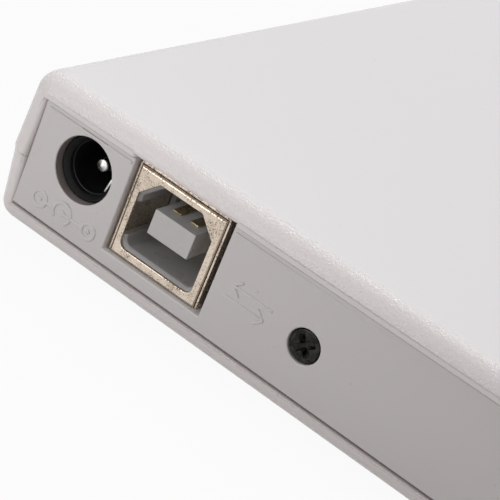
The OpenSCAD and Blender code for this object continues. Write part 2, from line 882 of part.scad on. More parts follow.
module drive_chip() {
    z = logic_z + logic_t;
    color("black") for (c = [[logic_x0 + decoder_in, decoder_w], [logic_x1 - driver_in, driver_w]])
        span([c[0], logic_y + drive_chip_front, z],
            [c[0] + c[1], logic_y + drive_chip_front + drive_chip_d, z + drive_chip_t]);
}

plug_deep = 4;

module rear_connector() {
    color("ivory") span([-plug_half, drive_rear - plug_deep, plug_z], [plug_half, plug_y, plug_z + plug_h]);
}

flex_half = 9;
flex_t = 0.2;
flex_under = 56;
flex_front = tray_rear - flex_under;

// Flat cable on the chassis floor, under the tray
module flex_cable() {
    color("wheat") span([-flex_half, flex_front, bed_z], [flex_half, logic_y, bed_z + flex_t]);
}

// Guide of the right rail: a channel riveted to the chassis wall
module guide_shape() {
    y0 = drive_y + guide_front;
    y1 = drive_rear - guide_back;
    z0 = rail_z - guide_half;
    z1 = rail_z + guide_half;
    span([chassis_in - guide_t, y0, z0], [chassis_in, y1, z1]);
    for (z = [z0, z1 - guide_lip_t])
        span([chassis_in - guide_t - guide_lip, y0, z], [chassis_in - guide_t, y1, z + guide_lip_t]);
}

module right_guide() {
    color("dimgray") guide_shape();
}

module left_guide() {
    color("dimgray") mirror([1, 0, 0]) guide_shape();
}

// Right rail: a bar in the chassis guide and a tongue in the tray's groove
module rail_shape() {
    span([rail_bar_x, rail_y, rail_z - rail_bar_half],
        [rail_bar_x + rail_bar_t, tray_rear, rail_z + rail_bar_half]);
    span([rail_tongue_x, rail_y, rail_z - rail_tongue_half],
        [rail_bar_x, tray_rear, rail_z + rail_tongue_half]);
}

module right_rail() {
    color("silver") rail_shape();
}

module left_rail() {
    color("silver") mirror([1, 0, 0]) rail_shape();
}

// Places a shape drawn in s and t on the sled's way
module on_way() {
    translate([0, disc_y, 0]) rotate([0, 0, sled_angle]) children();
}

// Cylinder along s from s0 to s1
module along_s(s0, s1, t, z, r) {
    translate([s0, t, z]) rotate([0, 90, 0]) cylinder(h = s1 - s0, r = r);
}

module tray() {
    color("darkgray") {
        difference() {
            span([-tray_half, tray_y, tray_base], [tray_half, tray_rear, tray_top]);
            post(0, disc_y, tray_floor, tray_top + cut, recess_r);
            span([-cavity_half, tray_y + tray_front_t, tray_base - cut],
                [cavity_half, tray_rear - tray_rear_t, tray_under]);
            // Grooves for the rails
            for (side = [-1, 1])
                span([side > 0 ? tray_half - tray_groove : -tray_half - cut, rail_y - slide_gap,
                        rail_z - rail_tongue_half - slide_gap],
                    [side > 0 ? tray_half + cut : tray_groove - tray_half, tray_rear + cut,
                        rail_z + rail_tongue_half + slide_gap]);
            // Seat of the mechanism cover, and the window under it
            on_way() translate([0, 0, tray_floor - cover_t]) linear_extrude(cover_t + cut)
                polygon(cover_outline);
            post(0, disc_y, tray_under - cut, tray_floor, floor_window_r);
            on_way() span([0, -floor_window_t, tray_under - cut], [rod_end, floor_window_t, tray_floor]);
            // Way of the latch post, and holes for the plunger and the button
            span([latch_slot[0], tray_rear - tray_rear_t - cut, tray_base - cut],
                [latch_slot[1], tray_rear + cut, tray_under]);
            along_y(plunger_x, tray_rear - tray_rear_t - cut, tray_rear + cut, plunger_z,
                plunger_r + run_gap);
            along_y(button_x, tray_y - cut, tray_y + tray_front_t + cut, control_z,
                button_stem_r + button_gap);
        }
        on_way() for (p = damper_places)
            post(p[0], p[1], frame_z - damper_lip, tray_under, damper_pin_r);
        post(latch_x, latch_y, latch_z - latch_pin_end, tray_under, latch_pin_r);
    }
}

bezel_r = 1.2;

module tray_bezel() {
    w = bezel_w / 2 - bezel_r;
    h = bezel_h - bezel_r;
    outline = concat(arc(w, bezel_r, bezel_r, -90, 0), arc(w, h, bezel_r, 0, 90),
        arc(-w, h, bezel_r, 90, 180), arc(-w, bezel_r, bezel_r, 180, 270));
    pocket = button_t + button_travel + button_gap;
    color("gainsboro") difference() {
        translate([0, tray_y, bezel_z]) rotate([90, 0, 0]) linear_extrude(bezel_t) polygon(outline);
        span([button_x - button_w / 2 - button_gap, bezel_y - cut, control_z - button_h / 2 - button_gap],
            [button_x + button_w / 2 + button_gap, bezel_y + pocket, control_z + button_h / 2 + button_gap]);
        along_y(button_x, bezel_y, tray_y + cut, control_z, button_stem_r + button_gap);
        along_y(lens_x, bezel_y - cut, tray_y + cut, control_z, lens_r + run_gap);
        along_y(pinhole_x, bezel_y - cut, tray_y + cut, control_z, pinhole_r);
    }
}

module eject_button() {
    color("gainsboro") {
        span([button_x - button_w / 2, bezel_y, control_z - button_h / 2],
            [button_x + button_w / 2, bezel_y + button_t, control_z + button_h / 2]);
        along_y(button_x, bezel_y + button_t, switch_y - button_travel - stem_gap, control_z, button_stem_r);
    }
}

module indicator_lens() {
    color("palegreen") along_y(lens_x, bezel_y, tray_y, control_z, lens_r);
}

bottom_side = 1.5;
bottom_front = 1;
bottom_back = 12;
bottom_notch = 6;

module tray_bottom_cover() {
    rear = tray_rear - bottom_back;
    color("silver") difference() {
        span([bottom_side - tray_half, tray_y + bottom_front, tray_z],
            [tray_half - bottom_side, rear, tray_base]);
        span([-tray_half, latch_y - bottom_notch, tray_z - cut],
            [latch_post_x + bottom_notch, rear + cut, tray_base + cut]);
    }
}

cover_ring = 1;

module mechanism_cover() {
    color("dimgray") difference() {
        on_way() translate([0, 0, tray_floor - cover_t]) linear_extrude(cover_t) polygon(cover_outline);
        post(0, disc_y, tray_floor - cover_t - cut, tray_floor + cut, seat_r + cover_ring);
        on_way() span([0, -slot_half, tray_floor - cover_t - cut],
            [read_max + slot_half, slot_half, tray_floor + cut]);
    }
}

tray_board_t = 1;
tray_board_left = 8;
tray_board_right = 9;
tray_board_gap = 0.4;
tray_board_d = 9.6;

module tray_board() {
    y = tray_y + tray_front_t + tray_board_gap;
    color("seagreen") span([lens_x - tray_board_left, y, tray_base],
        [button_x + tray_board_right, y + tray_board_d, tray_base + tray_board_t]);
}

switch_half = 3;
switch_d = 4;
switch_head = 1.6;
switch_tip = 0.6;
switch_tip_r = 1;

module eject_switch() {
    color("black") {
        span([button_x - switch_half, switch_y + switch_tip, tray_base + tray_board_t],
            [button_x + switch_half, switch_y + switch_tip + switch_d, control_z + switch_head]);
        along_y(button_x, switch_y, switch_y + switch_tip, control_z, switch_tip_r);
    }
}

module traverse_frame() {
    z1 = frame_z + frame_t;
    block_top = rod_z + rod_r + rod_lug;
    color("gray") on_way() difference() {
        union() {
            difference() {
                translate([0, 0, frame_z]) linear_extrude(frame_t) polygon(frame_outline);
                span([rod_start + rod_block, -sled_half_t - window_gap, frame_z - cut],
                    [rod_end, sled_half_t + window_gap, z1 + cut]);
                span([lead_start - stepper_len - stepper_gap, screw_t - stepper_r - stepper_gap,
                        frame_z - cut],
                    [lead_start, screw_t + stepper_r + stepper_gap, z1 + cut]);
                for (p = damper_places)
                    post(p[0], p[1], frame_z - cut, z1 + cut, damper_waist_r + run_gap);
            }
            // Blocks that hold the rods, and bearings of the lead screw
            for (s = [rod_start, rod_end], t = [-rod_t, rod_t])
                span([s, t - rod_r - rod_lug, frame_z], [s + rod_block, t + rod_r + rod_lip, block_top]);
            for (s = [lead_start, lead_end])
                span([s, screw_t - lead_half, frame_z], [s + lead_block, screw_t + lead_half, block_top]);
        }
        for (t = [-rod_t, rod_t])
            along_s(rod_start - cut, rod_end + rod_block + cut, t, rod_z, rod_r + run_gap / 2);
        along_s(lead_start - cut, lead_end + cut + lead_block, screw_t, rod_z, lead_r + run_gap);
        post(0, 0, frame_z - cut, z1 + cut, shaft_hole_r);
    }
}

module dampers() {
    z1 = frame_z + frame_t;
    bore = damper_pin_r + run_gap;
    color("black") on_way() for (p = damper_places)
        translate([p[0], p[1], 0]) rotate_extrude()
            polygon([[bore, frame_z - damper_lip], [damper_r, frame_z - damper_lip], [damper_r, frame_z],
                [damper_waist_r, frame_z], [damper_waist_r, z1], [damper_r, z1], [damper_r, z1 + damper_top],
                [bore, z1 + damper_top]]);
}

module spindle_motor() {
    stator_top = rotor_top - rotor_wall - rotor_gap;
    color("goldenrod") translate([0, disc_y, 0]) difference() {
        union() {
            post(0, 0, motor_z, motor_z + motor_base_t, motor_base_r);
            post(0, 0, motor_z, stator_top, stator_r);
        }
        post(0, 0, motor_z - cut, stator_top + cut, shaft_r + run_gap);
    }
}

jaw_w = 2.2;
jaw_deep = 2.2;
jaw_up = 0.5;
jaw_z = seat_z + jaw_up;
jaw_h = 1;
jaw_back = 0.05;
hub_taper = 2;

// Slot or jaw at each third of the hub
module jaw_shapes(gap) {
    for (a = [30, 150, 270])
        translate([0, disc_y, 0]) rotate([0, 0, a])
            span([hub_r - jaw_deep - gap, -jaw_w / 2 - gap, jaw_z - gap],
                [hub_r + (gap > 0 ? cut : -jaw_back), jaw_w / 2 + gap, jaw_z + jaw_h + gap]);
}

module turntable() {
    low = motor_z + motor_base_t + rotor_low;
    high = rotor_top - rotor_wall;
    nose = seat_z + hub_h + hub_nose;
    inner = rotor_r - rotor_wall;
    color("whitesmoke") difference() {
        translate([0, disc_y, 0]) rotate_extrude()
            polygon([[0, motor_z], [shaft_r, motor_z], [shaft_r, high], [inner, high], [inner, low],
                [rotor_r, low], [rotor_r, rotor_top], [seat_r, rotor_top], [seat_r, seat_z], [hub_r, seat_z],
                [hub_r, seat_z + hub_h], [hub_r - hub_taper, nose], [0, nose]]);
        jaw_shapes(run_gap);
    }
}

module hub_jaws() {
    color("dimgray") jaw_shapes(0);
}

module guide_rods() {
    color("silver") on_way() for (t = [-rod_t, rod_t])
        along_s(rod_start, rod_end + rod_block, t, rod_z, rod_r);
}

arm_s = [-6, -2.5];
arm_half = 0.8;
arm_gap = 0.2;
well_s = 5.4;
well_t = 6;
well_deep = 1.4;

module pickup_sled() {
    color("slategray") on_way() translate([read_rest, 0, 0]) difference() {
        union() {
            span([-sled_half_s, -sled_half_t, sled_z0], [sled_half_s, sled_half_t, sled_z1]);
            span([arm_s[0], sled_half_t, rod_z - arm_half],
                [arm_s[1], screw_t - lead_r - arm_gap, rod_z + arm_half]);
        }
        for (t = [-rod_t, rod_t])
            along_s(-sled_half_s - cut, sled_half_s + cut, t, rod_z, rod_r + run_gap);
        span([-well_s, -well_t, sled_z1 - well_deep], [well_s, well_t, sled_z1 + cut]);
    }
}

holder_half = 5;
holder_drop = 0.8;
holder_z = sled_z1 - holder_drop;
holder_gap = 0.2;
holder_top = tray_floor - holder_gap;
objective_r = 2.4;
objective_taper = 0.6;
objective_up = 0.4;

module lens_holder() {
    color("black") on_way() translate([read_rest, 0, 0]) difference() {
        span([-holder_half, -holder_half, holder_z], [holder_half, holder_half, holder_top]);
        post(0, 0, holder_z - cut, holder_top + cut, objective_r + run_gap);
    }
}

module objective_lens() {
    color("lightblue") on_way() translate([read_rest, 0, 0])
        translate([0, 0, holder_z + objective_up])
            cylinder(h = holder_top - holder_z, r1 = objective_r, r2 = objective_r - objective_taper);
}

module lead_screw() {
    color("silver") on_way() {
        along_s(lead_start - lead_neck, lead_start, screw_t, rod_z, lead_core_r);
        along_s(lead_start, lead_end + lead_block, screw_t, rod_z, lead_r);
    }
}

module sled_motor() {
    color("silver") on_way() difference() {
        along_s(lead_start - stepper_len, lead_start, screw_t, rod_z, stepper_r);
        along_s(lead_start - lead_neck - slide_gap, lead_start + cut, screw_t, rod_z, lead_core_r + run_gap);
    }
}

module latch_lever() {
    hook_x = latch_post_x - latch_post_r - latch_hook_gap;
    tip = latch_y + latch_len;
    z1 = latch_z + latch_t;
    color("dimgray") difference() {
        union() {
            post(latch_x, latch_y, latch_z, z1, latch_pin_r * 2);
            span([latch_x - latch_half, latch_y, latch_z], [latch_x + latch_half, tip, z1]);
            span([latch_x, tip - latch_hook, latch_z], [hook_x, tip, z1]);
        }
        post(latch_x, latch_y, latch_z - cut, z1 + cut, latch_pin_r + run_gap);
    }
}

coil_gap = 3.6;
coil_w = 6;
coil_front = 4;
coil_l = 13;
coil_pin_y = 11;
coil_pin_len = 2.2;
coil_pin_r = 0.8;

module latch_solenoid() {
    x = latch_x - coil_gap;
    color("darkred") {
        span([x - coil_w, latch_y + coil_front, tray_base], [x, latch_y + coil_front + coil_l, tray_under]);
        translate([x, latch_y + coil_pin_y, latch_z + latch_t / 2]) rotate([0, 90, 0])
            cylinder(h = coil_pin_len, r = coil_pin_r);
    }
}

module eject_plunger() {
    y = tray_rear - tray_rear_t;
    color("ivory") {
        along_y(plunger_x, tray_rear - plunger_len, stop_y - plunger_gap, plunger_z, plunger_r);
        along_y(plunger_x, y - plunger_collar_t, y, plunger_z, plunger_collar_r);
    }
}

upper_shell();
lower_shell();
rear_panel();
panel_screws();
rubber_feet();
cushion_pads();
bridge_board();
board_screws();
bridge_chip();
regulator();
crystal();
capacitors();
board_connector();
usb_shell();
usb_insulator();
usb_contacts();
inlet_body();
inlet_pin();
inlet_spring();
drive_chassis();
drive_cover();
cover_screws();
drive_board();
drive_chip();
rear_connector();
flex_cable();
left_guide();
right_guide();
left_rail();
right_rail();
tray();
tray_bezel();
eject_button();
indicator_lens();
tray_bottom_cover();
mechanism_cover();
tray_board();
eject_switch();
traverse_frame();
dampers();
spindle_motor();
turntable();
hub_jaws();
guide_rods();
pickup_sled();
lens_holder();
objective_lens();
lead_screw();
sled_motor();
latch_lever();
latch_solenoid();
eject_plunger();
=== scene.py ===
import json
import math

import bpy
from mathutils import Matrix, Vector


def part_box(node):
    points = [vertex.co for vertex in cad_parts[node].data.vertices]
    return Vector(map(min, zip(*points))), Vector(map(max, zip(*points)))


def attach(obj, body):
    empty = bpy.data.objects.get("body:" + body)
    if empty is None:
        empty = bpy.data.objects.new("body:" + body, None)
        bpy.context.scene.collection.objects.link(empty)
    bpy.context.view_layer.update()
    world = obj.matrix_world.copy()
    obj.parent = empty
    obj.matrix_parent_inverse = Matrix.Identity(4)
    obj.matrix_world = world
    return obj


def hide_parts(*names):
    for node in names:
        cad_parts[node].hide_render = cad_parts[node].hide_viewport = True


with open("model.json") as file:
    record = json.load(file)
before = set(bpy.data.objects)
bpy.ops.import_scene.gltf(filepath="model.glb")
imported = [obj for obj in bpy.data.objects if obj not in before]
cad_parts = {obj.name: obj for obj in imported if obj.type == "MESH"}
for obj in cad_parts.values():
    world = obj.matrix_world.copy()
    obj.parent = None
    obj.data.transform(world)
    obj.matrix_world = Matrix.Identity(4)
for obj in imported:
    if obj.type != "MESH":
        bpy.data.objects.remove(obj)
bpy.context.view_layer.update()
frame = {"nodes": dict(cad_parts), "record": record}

# Lower shell: the tub of the case, one ABS moulding with ribs for the drive and posts for the
# board. The mould was spark-eroded, so rounded edges carry a fine sparkling grain. The broad
# faces are nearly smooth. Faces that turn down from the top get a lighter, warmer colour, a
# painted light, and the walls and ledge of the recess round the rear panel get a painted brown
# shade.
MM = 0.001
CASE_WHITE = (0.775, 0.77, 0.78)
# Painted light: the lighter, warmer colour that faces turning down from the top take.
CASE_LIT_EDGES = (0.82, 0.79, 0.782)
CASE_GRAIN = 3900
CASE_ROUGH = 0.18
CASE_RELIEF = 0.12 * MM
CASE_EDGE = 0.14 * MM
CASE_STEPS = 3
ABS_IOR = 1.55
FLOW_SCALE = 24
DUST_SCALE = 1150
DUST_SHARE = 0.25
DUST_BROWN = (0.30, 0.28, 0.26)
WEAR_SCALE = 700
TOP_WEAR = 0.39
# Painted shade: the brown laid on the recess walls and ledge inside the rear rim, with its shares
# for sideways and upward faces.
RIM_SHADE_BROWN = (0.40, 0.33, 0.31)
RIM_SHADE_SIDE = 0.40
RIM_SHADE_UP = 0.55
RIM_EDGE = 0.55 * MM
RIM_STEPS = 6
RIM_Y = 75.3 * MM
RIM_HALF = 68.3 * MM
RIM_LOW = 2.8 * MM
RIM_HIGH = 17.5 * MM
DOUBLES = 0.001 * MM
BEVEL_ANGLE = math.radians(34)
SMOOTH_ANGLE = math.radians(38)
MIX_FIRST, MIX_SECOND, MIX_RESULT = 6, 7, 2
bodies = frame["record"]["behaviour"]["bodies"]
body_of = {node: body for body, nodes in bodies.items() for node in nodes}


class Wire:
    """A shader socket: arithmetic on it adds Math nodes, and node() adds any other node."""

    def __init__(self, tree, socket=None):
        self.tree = tree
        self.socket = socket

    def node(self, kind, settings, links, output=0):
        made = self.tree.nodes.new("ShaderNode" + kind)
        for key, value in settings.items():
            if key == "stops":
                stops = made.color_ramp.elements
                while len(stops) < len(value):
                    stops.new(1.0)
                for stop, (place, shade) in zip(stops, value):
                    stop.position = place
                    stop.color = (shade, shade, shade, 1.0)
            else:
                setattr(made, key, value)
        for key, value in links.items():
            if isinstance(value, Wire):
                self.tree.links.new(value.socket, made.inputs[key])
            else:
                made.inputs[key].default_value = value
        return Wire(self.tree, made.outputs[output] if made.outputs else None)

    def maths(self, operation, first, second=0.0):
        return self.node("Math", {"operation": operation}, {0: first, 1: second})

    def __add__(self, other):
        return self.maths("ADD", self, other)

    def __sub__(self, other):
        return self.maths("SUBTRACT", self, other)

    def __rsub__(self, other):
        return self.maths("SUBTRACT", other, self)

    def __mul__(self, other):
        return self.maths("MULTIPLY", self, other)

    __radd__ = __add__
    __rmul__ = __mul__

    def over(self, limit):
        """One where this value is over a limit."""
        return self.maths("GREATER_THAN", self, limit)

    def cycle(self, per_metre):
        """How far along each of so many equal steps to the metre, from 0 to 1."""
        return self.maths("FRACT", self * per_metre)

    def ramp(self, stops):
        """This value through a curve of (place, shade) stops."""
        return self.node("ValToRGB", {"stops": stops}, {"Fac": self})

    def blend(self, first, second):
        """Mixes two colours by this value."""
        links = {0: self}
        for key, colour in ((MIX_FIRST, first), (MIX_SECOND, second)):
            links[key] = colour if isinstance(colour, Wire) else (*colour, 1.0)
        return self.node("Mix", {"data_type": "RGBA"}, links, MIX_RESULT)

    def spot(self):
        """The place on the piece, in its own coordinates."""
        return self.node("TexCoord", {}, {}, "Object")

    def noise(self, scale, detail=2.0, rough=0.5):
        """Noise with so many cells to the metre."""
        links = {"Vector": self.spot(), "Scale": scale, "Detail": detail, "Roughness": rough}
        return self.node("TexNoise", {}, links)

    def cells(self, scale, output="Distance"):
        """Irregular cells: the distance from the middle, or as Color a shade for each."""
        return self.node("TexVoronoi", {}, {"Vector": self.spot(), "Scale": scale}, output)

    def place(self, axis):
        """One of the piece's own coordinates, in metres."""
        return self.node("SeparateXYZ", {}, {0: self.spot()}, axis)

    def facing(self, axis):
        """One component of the surface's normal."""
        normal = self.node("NewGeometry", {}, {}, "Normal")
        return self.node("SeparateXYZ", {}, {0: normal}, axis)


def finish(name, build):
    """A material whose build(wire) gives the surface's inputs, with a bump from "height"."""
    material = bpy.data.materials.new(name)
    material.use_nodes = True
    tree = material.node_tree
    tree.nodes.clear()
    wire = Wire(tree)
    inputs = build(wire)
    height = inputs.pop("height", None)
    if height is not None:
        bump = {"Height": height, "Distance": inputs.pop("relief")}
        inputs["Normal"] = wire.node("Bump", {}, bump)
    surface = wire.node("BsdfPrincipled", {}, inputs)
    wire.node("OutputMaterial", {}, {"Surface": surface})
    return material


def moulded(light, edges, grain, rough, relief, rim_shade=False):
    """Spark-eroded plastic: grained, worn matt on top, with flow marks and dust. The edges colour
    on faces that turn down from the top is a painted light. Where asked, a painted brown shade
    lies on the walls and ledge of the recess inside the rear rim."""
    def build(wire):
        flow = wire.noise(FLOW_SCALE, detail=3.0).ramp([(0.35, 0.94), (0.65, 1.0)])
        dust = wire.noise(DUST_SCALE, detail=1.0).ramp([(0.80, 0.0), (0.83, 1.0)])
        fine = wire.noise(grain, rough=0.65)
        up = wire.facing("Z")
        turn = up.ramp([(0.0, 0.25), (0.12, 0.75), (0.96, 1.0), (0.995, 0.10)])
        turned = up.ramp([(0.90, 1.0), (0.995, 0.0)])
        # Painted light: faces turned away from straight up take the lighter, warmer edges colour.
        tone = (turned * flow).blend(light, edges)
        colour = (dust * DUST_SHARE).blend(tone, DUST_BROWN)
        # Painted shade: the walls and ledge of the recess inside the rear rim turn brown, most
        # where they face up.
        if rim_shade:
            across = wire.maths("ABSOLUTE", wire.place("X"))
            height = wire.place("Z")
            sunk = (wire.place("Y").over(RIM_Y - RIM_EDGE) * (1.0 - across.over(RIM_HALF))
                    * height.over(RIM_LOW) * (1.0 - height.over(RIM_HIGH)))
            shade_weight = wire.maths("MAXIMUM", RIM_SHADE_SIDE + RIM_SHADE_UP * up, 0.0)
            wall = sunk * shade_weight * wire.facing("Y").ramp([(0.20, 1.0), (0.97, 0.0)])
            colour = wall.blend(colour, RIM_SHADE_BROWN)
        worn = TOP_WEAR * (1.0 - turned)
        return {"Base Color": colour,
                "Roughness": rough + worn + 0.10 * wire.noise(WEAR_SCALE),
                "height": fine * turn, "relief": relief, "IOR": ABS_IOR}
    return build


def active(piece):
    """Leaves only this piece selected and active."""
    bpy.ops.object.select_all(action="DESELECT")
    piece.select_set(True)
    bpy.context.view_layer.objects.active = piece


def edit(piece, *steps):
    """Runs mesh operators on the whole of a piece in edit mode."""
    active(piece)
    bpy.ops.object.mode_set(mode="EDIT")
    bpy.ops.mesh.select_mode(type="VERT")
    bpy.ops.mesh.select_all(action="SELECT")
    for operator, settings in steps:
        operator(**settings)
    bpy.ops.object.mode_set(mode="OBJECT")


def apply(piece, kind, **settings):
    """Adds a modifier with these settings and applies it."""
    active(piece)
    modifier = piece.modifiers.new(kind.lower(), kind)
    for key, value in settings.items():
        setattr(modifier, key, value)
    bpy.ops.object.modifier_apply(modifier=modifier.name)


def soften(piece, width, segments=3):
    """Breaks the sharp edges with a small round, if it has a width, and shades the rest smooth."""
    if width:
        apply(piece, "BEVEL", width=width, segments=segments, limit_method="ANGLE",
              angle_limit=BEVEL_ANGLE, use_clamp_overlap=False, loop_slide=False)
    active(piece)
    bpy.ops.object.shade_smooth_by_angle(angle=SMOOTH_ANGLE)
    apply(piece, "WEIGHTED_NORMAL", keep_sharp=True)


def from_solid(node, name):
    """A copy of a CAD solid with its loose triangles joined at their corners."""
    mesh = frame["nodes"][node].data.copy()
    mesh.materials.clear()
    piece = bpy.data.objects.new(name, mesh)
    bpy.context.collection.objects.link(piece)
    active(piece)
    bpy.ops.mesh.customdata_custom_splitnormals_clear()
    edit(piece, (bpy.ops.mesh.remove_doubles, {"threshold": DOUBLES}))
    return piece


def fit(piece, material, node):
    """Gives a piece its material and the body of the CAD node that it stands for, and hides that
    node.
    """
    piece.data.materials.clear()
    piece.data.materials.append(material)
    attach(piece, body_of[node])
    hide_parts(node)


def sharp_edges(piece, test, width, segments):
    """Rounds the sharp edges whose two ends pass a test."""
    active(piece)
    bpy.ops.object.mode_set(mode="EDIT")
    bpy.ops.mesh.select_mode(type="EDGE")
    bpy.ops.mesh.select_all(action="DESELECT")
    bpy.ops.mesh.edges_select_sharp(sharpness=BEVEL_ANGLE)
    bpy.ops.object.mode_set(mode="OBJECT")
    ends = piece.data.vertices
    for line in piece.data.edges:
        line.select = line.select and all(test(ends[i].co) for i in line.vertices)
    bpy.ops.object.mode_set(mode="EDIT")
    bpy.ops.mesh.bevel(offset=width, segments=segments, affect="EDGES", loop_slide=False,
                       clamp_overlap=False)
    bpy.ops.object.mode_set(mode="OBJECT")


def on_rim(point):
    """Points on the rim round the rear panel."""
    return point.y > RIM_Y and abs(point.x) < RIM_HALF and RIM_LOW < point.z < RIM_HIGH


def round_case(half):
    """Breaks the edges of a half of the case, and rounds its rear rim more."""
    sharp_edges(half, lambda point: not on_rim(point), CASE_EDGE, CASE_STEPS)
    sharp_edges(half, on_rim, RIM_EDGE, RIM_STEPS)
    soften(half, 0)


case_plastic = moulded(CASE_WHITE, CASE_LIT_EDGES, CASE_GRAIN, CASE_ROUGH, CASE_RELIEF, rim_shade=True)
case_abs = finish("case_abs", case_plastic)
lower_half = from_solid("lower_shell", "case_lower_half")
round_case(lower_half)
fit(lower_half, case_abs, "lower_shell")

# Rubber feet: four discs of black rubber glued into seats under the lower shell. Each has a
# rounded tread edge and a moulded ring groove that grips the table.
FOOT_R = 5.0 * MM
FOOT_SIDES = 64
FOOT_EDGE = 0.55 * MM
FOOT_STEPS = 5
GROOVE_IN = 1.3 * MM
GROOVE_W = 0.7 * MM
GROOVE_WALL = 0.15 * MM
GROOVE_DEEP = 0.35 * MM
RUBBER_BLACK = (0.028, 0.027, 0.026)
RUBBER_WORN = (0.075, 0.072, 0.068)
RUBBER_RELIEF = 0.03 * MM
FLAT = 0.9
TOUCH = 0.05 * MM


def shape(piece, test, *steps):
    """Runs mesh operators on the faces whose middle and normal pass a test."""
    active(piece)
    bpy.ops.object.mode_set(mode="EDIT")
    bpy.ops.mesh.select_mode(type="FACE")
    bpy.ops.mesh.select_all(action="DESELECT")
    bpy.ops.object.mode_set(mode="OBJECT")
    for face in piece.data.polygons:
        face.select = test(face.center, face.normal)
    bpy.ops.object.mode_set(mode="EDIT")
    for operator, settings in steps:
        operator(**settings)
    bpy.ops.object.mode_set(mode="OBJECT")


def push(x, y, z):
    """The step for shape() that moves the chosen faces."""
    return bpy.ops.transform.translate, {"value": (x, y, z)}


def inset(thickness):
    """The step for shape() that draws a border inside the chosen faces."""
    return bpy.ops.mesh.inset, {"thickness": thickness}


def copy_of(piece, name, move):
    """A copy with its own mesh, moved in its mesh."""
    twin = piece.copy()
    twin.data = piece.data.copy()
    twin.name = name
    twin.data.transform(move)
    bpy.context.collection.objects.link(twin)
    return twin


def joined(name, pieces):
    """One piece made of several."""
    active(pieces[0])
    for piece in pieces:
        piece.select_set(True)
    bpy.ops.object.join()
    pieces[0].name = name
    return pieces[0]


def rubber(wire):
    """Black rubber, greyer and rougher where it is worn."""
    worn = wire.noise(420, detail=4.0, rough=0.6).ramp([(0.45, 0.0), (0.72, 1.0)])
    return {"Base Color": worn.blend(RUBBER_BLACK, RUBBER_WORN), "Roughness": 0.62 + 0.25 * worn,
            "height": wire.noise(2600, detail=3.0), "relief": RUBBER_RELIEF}


def from_axis(point):
    """How far a point is from the middle of the first foot."""
    return (point - foot_at).xy.length


foot_rubber = finish("foot_rubber", rubber)
feet_low, feet_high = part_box("rubber_feet")
foot_h = feet_high.z - feet_low.z
foot_at = Vector((feet_low.x + FOOT_R, feet_low.y + FOOT_R, foot_h / 2))
groove_r = FOOT_R - FOOT_EDGE - GROOVE_IN - GROOVE_W / 2
bpy.ops.object.select_all(action="DESELECT")
bpy.ops.mesh.primitive_cylinder_add(vertices=FOOT_SIDES, radius=FOOT_R, depth=foot_h,
                                    location=foot_at)
foot = bpy.context.object
bpy.ops.object.transform_apply(location=True)
shape(foot, lambda middle, normal: normal.z < -FLAT,
      (bpy.ops.mesh.bevel, {"offset": FOOT_EDGE, "segments": FOOT_STEPS, "affect": "EDGES"}))
shape(foot, lambda middle, normal: normal.z < -FLAT and from_axis(middle) < TOUCH,
      inset(GROOVE_IN), inset(GROOVE_W), inset(GROOVE_WALL))
shape(foot, lambda middle, normal: normal.z < -FLAT
      and abs(from_axis(middle) - groove_r) < GROOVE_W / 3, push(0, 0, GROOVE_DEEP))
step_x = feet_high.x - feet_low.x - 2 * FOOT_R
step_y = feet_high.y - feet_low.y - 2 * FOOT_R
feet = [foot] + [copy_of(foot, "foot", Matrix.Translation((x, y, 0)))
                 for x, y in ((step_x, 0), (0, step_y), (step_x, step_y))]
feet = joined("rubber_foot_set", feet)
soften(feet, 0)
fit(feet, foot_rubber, "rubber_feet")

# Bridge board: a green glass-epoxy board on posts in the lower shell, lacquered over its copper
# runs, with the bridge chip, the regulator, a crystal, two cans and the plug to the drive. The
# boards, chips, plug, switch and plunger of the drive are made alike.
LACQUER = (0.012, 0.115, 0.045)
COPPER_RUN = (0.03, 0.22, 0.085)
RUNS_TO_METRE = 640
RUN_RELIEF = 0.03 * MM
CHIP_BLACK = (0.022, 0.022, 0.024)
CHIP_SHADE = (0.04, 0.04, 0.042)
NYLON = (0.72, 0.66, 0.52)
NYLON_SHADE = (0.66, 0.59, 0.45)
STEEL = (0.66, 0.66, 0.66)
STEEL_SHADE = (0.52, 0.52, 0.53)
ALUMINIUM = (0.72, 0.73, 0.75)
ALUMINIUM_SHADE = (0.60, 0.61, 0.63)
RESIN_RELIEF = 0.015 * MM
METAL_RELIEF = 0.006 * MM


def dress(material, *nodes):
    """Gives CAD solids that stay as they are a finish."""
    for node in nodes:
        for slot in frame["nodes"][node].material_slots:
            slot.material = material


def rounded_solids(material, *rows):
    """CAD solids with broken edges and a finish: node, name, edge in millimetres, steps."""
    for node, name, edge, steps in rows:
        piece = from_solid(node, name)
        soften(piece, edge * MM, steps)
        fit(piece, material, node)


def lacquered(wire):
    """Green lacquer, with copper runs in it along or across the board."""
    across = wire.cells(90, "Color").over(0.5)
    runs = (across * wire.place("X").cycle(RUNS_TO_METRE)
            + (1.0 - across) * wire.place("Y").cycle(RUNS_TO_METRE))
    run = runs.over(0.55) * wire.cells(160, "Color").over(0.35)
    return {"Base Color": run.blend(LACQUER, COPPER_RUN), "Coat Weight": 0.3,
            "Roughness": 0.30 + 0.12 * wire.noise(900), "height": run, "relief": RUN_RELIEF}


def resin(light, dark, scale, rough):
    """Moulded resin with a faint mottle and grain."""
    def build(wire):
        mottle = wire.noise(scale, detail=3.0).ramp([(0.35, 0.0), (0.65, 1.0)])
        return {"Base Color": mottle.blend(light, dark), "Roughness": rough + 0.12 * mottle,
                "height": wire.noise(scale * 6), "relief": RESIN_RELIEF}
    return build


def metal(light, dark, scale, rough, relief=METAL_RELIEF):
    """Bare or plated metal with patches of two tones and a fine grain."""
    def build(wire):
        patch = wire.noise(scale, detail=4.0, rough=0.6).ramp([(0.38, 0.0), (0.62, 1.0)])
        return {"Base Color": patch.blend(light, dark), "Roughness": rough + 0.16 * patch,
                "Metallic": 1.0, "height": wire.noise(scale * 9), "relief": relief}
    return build


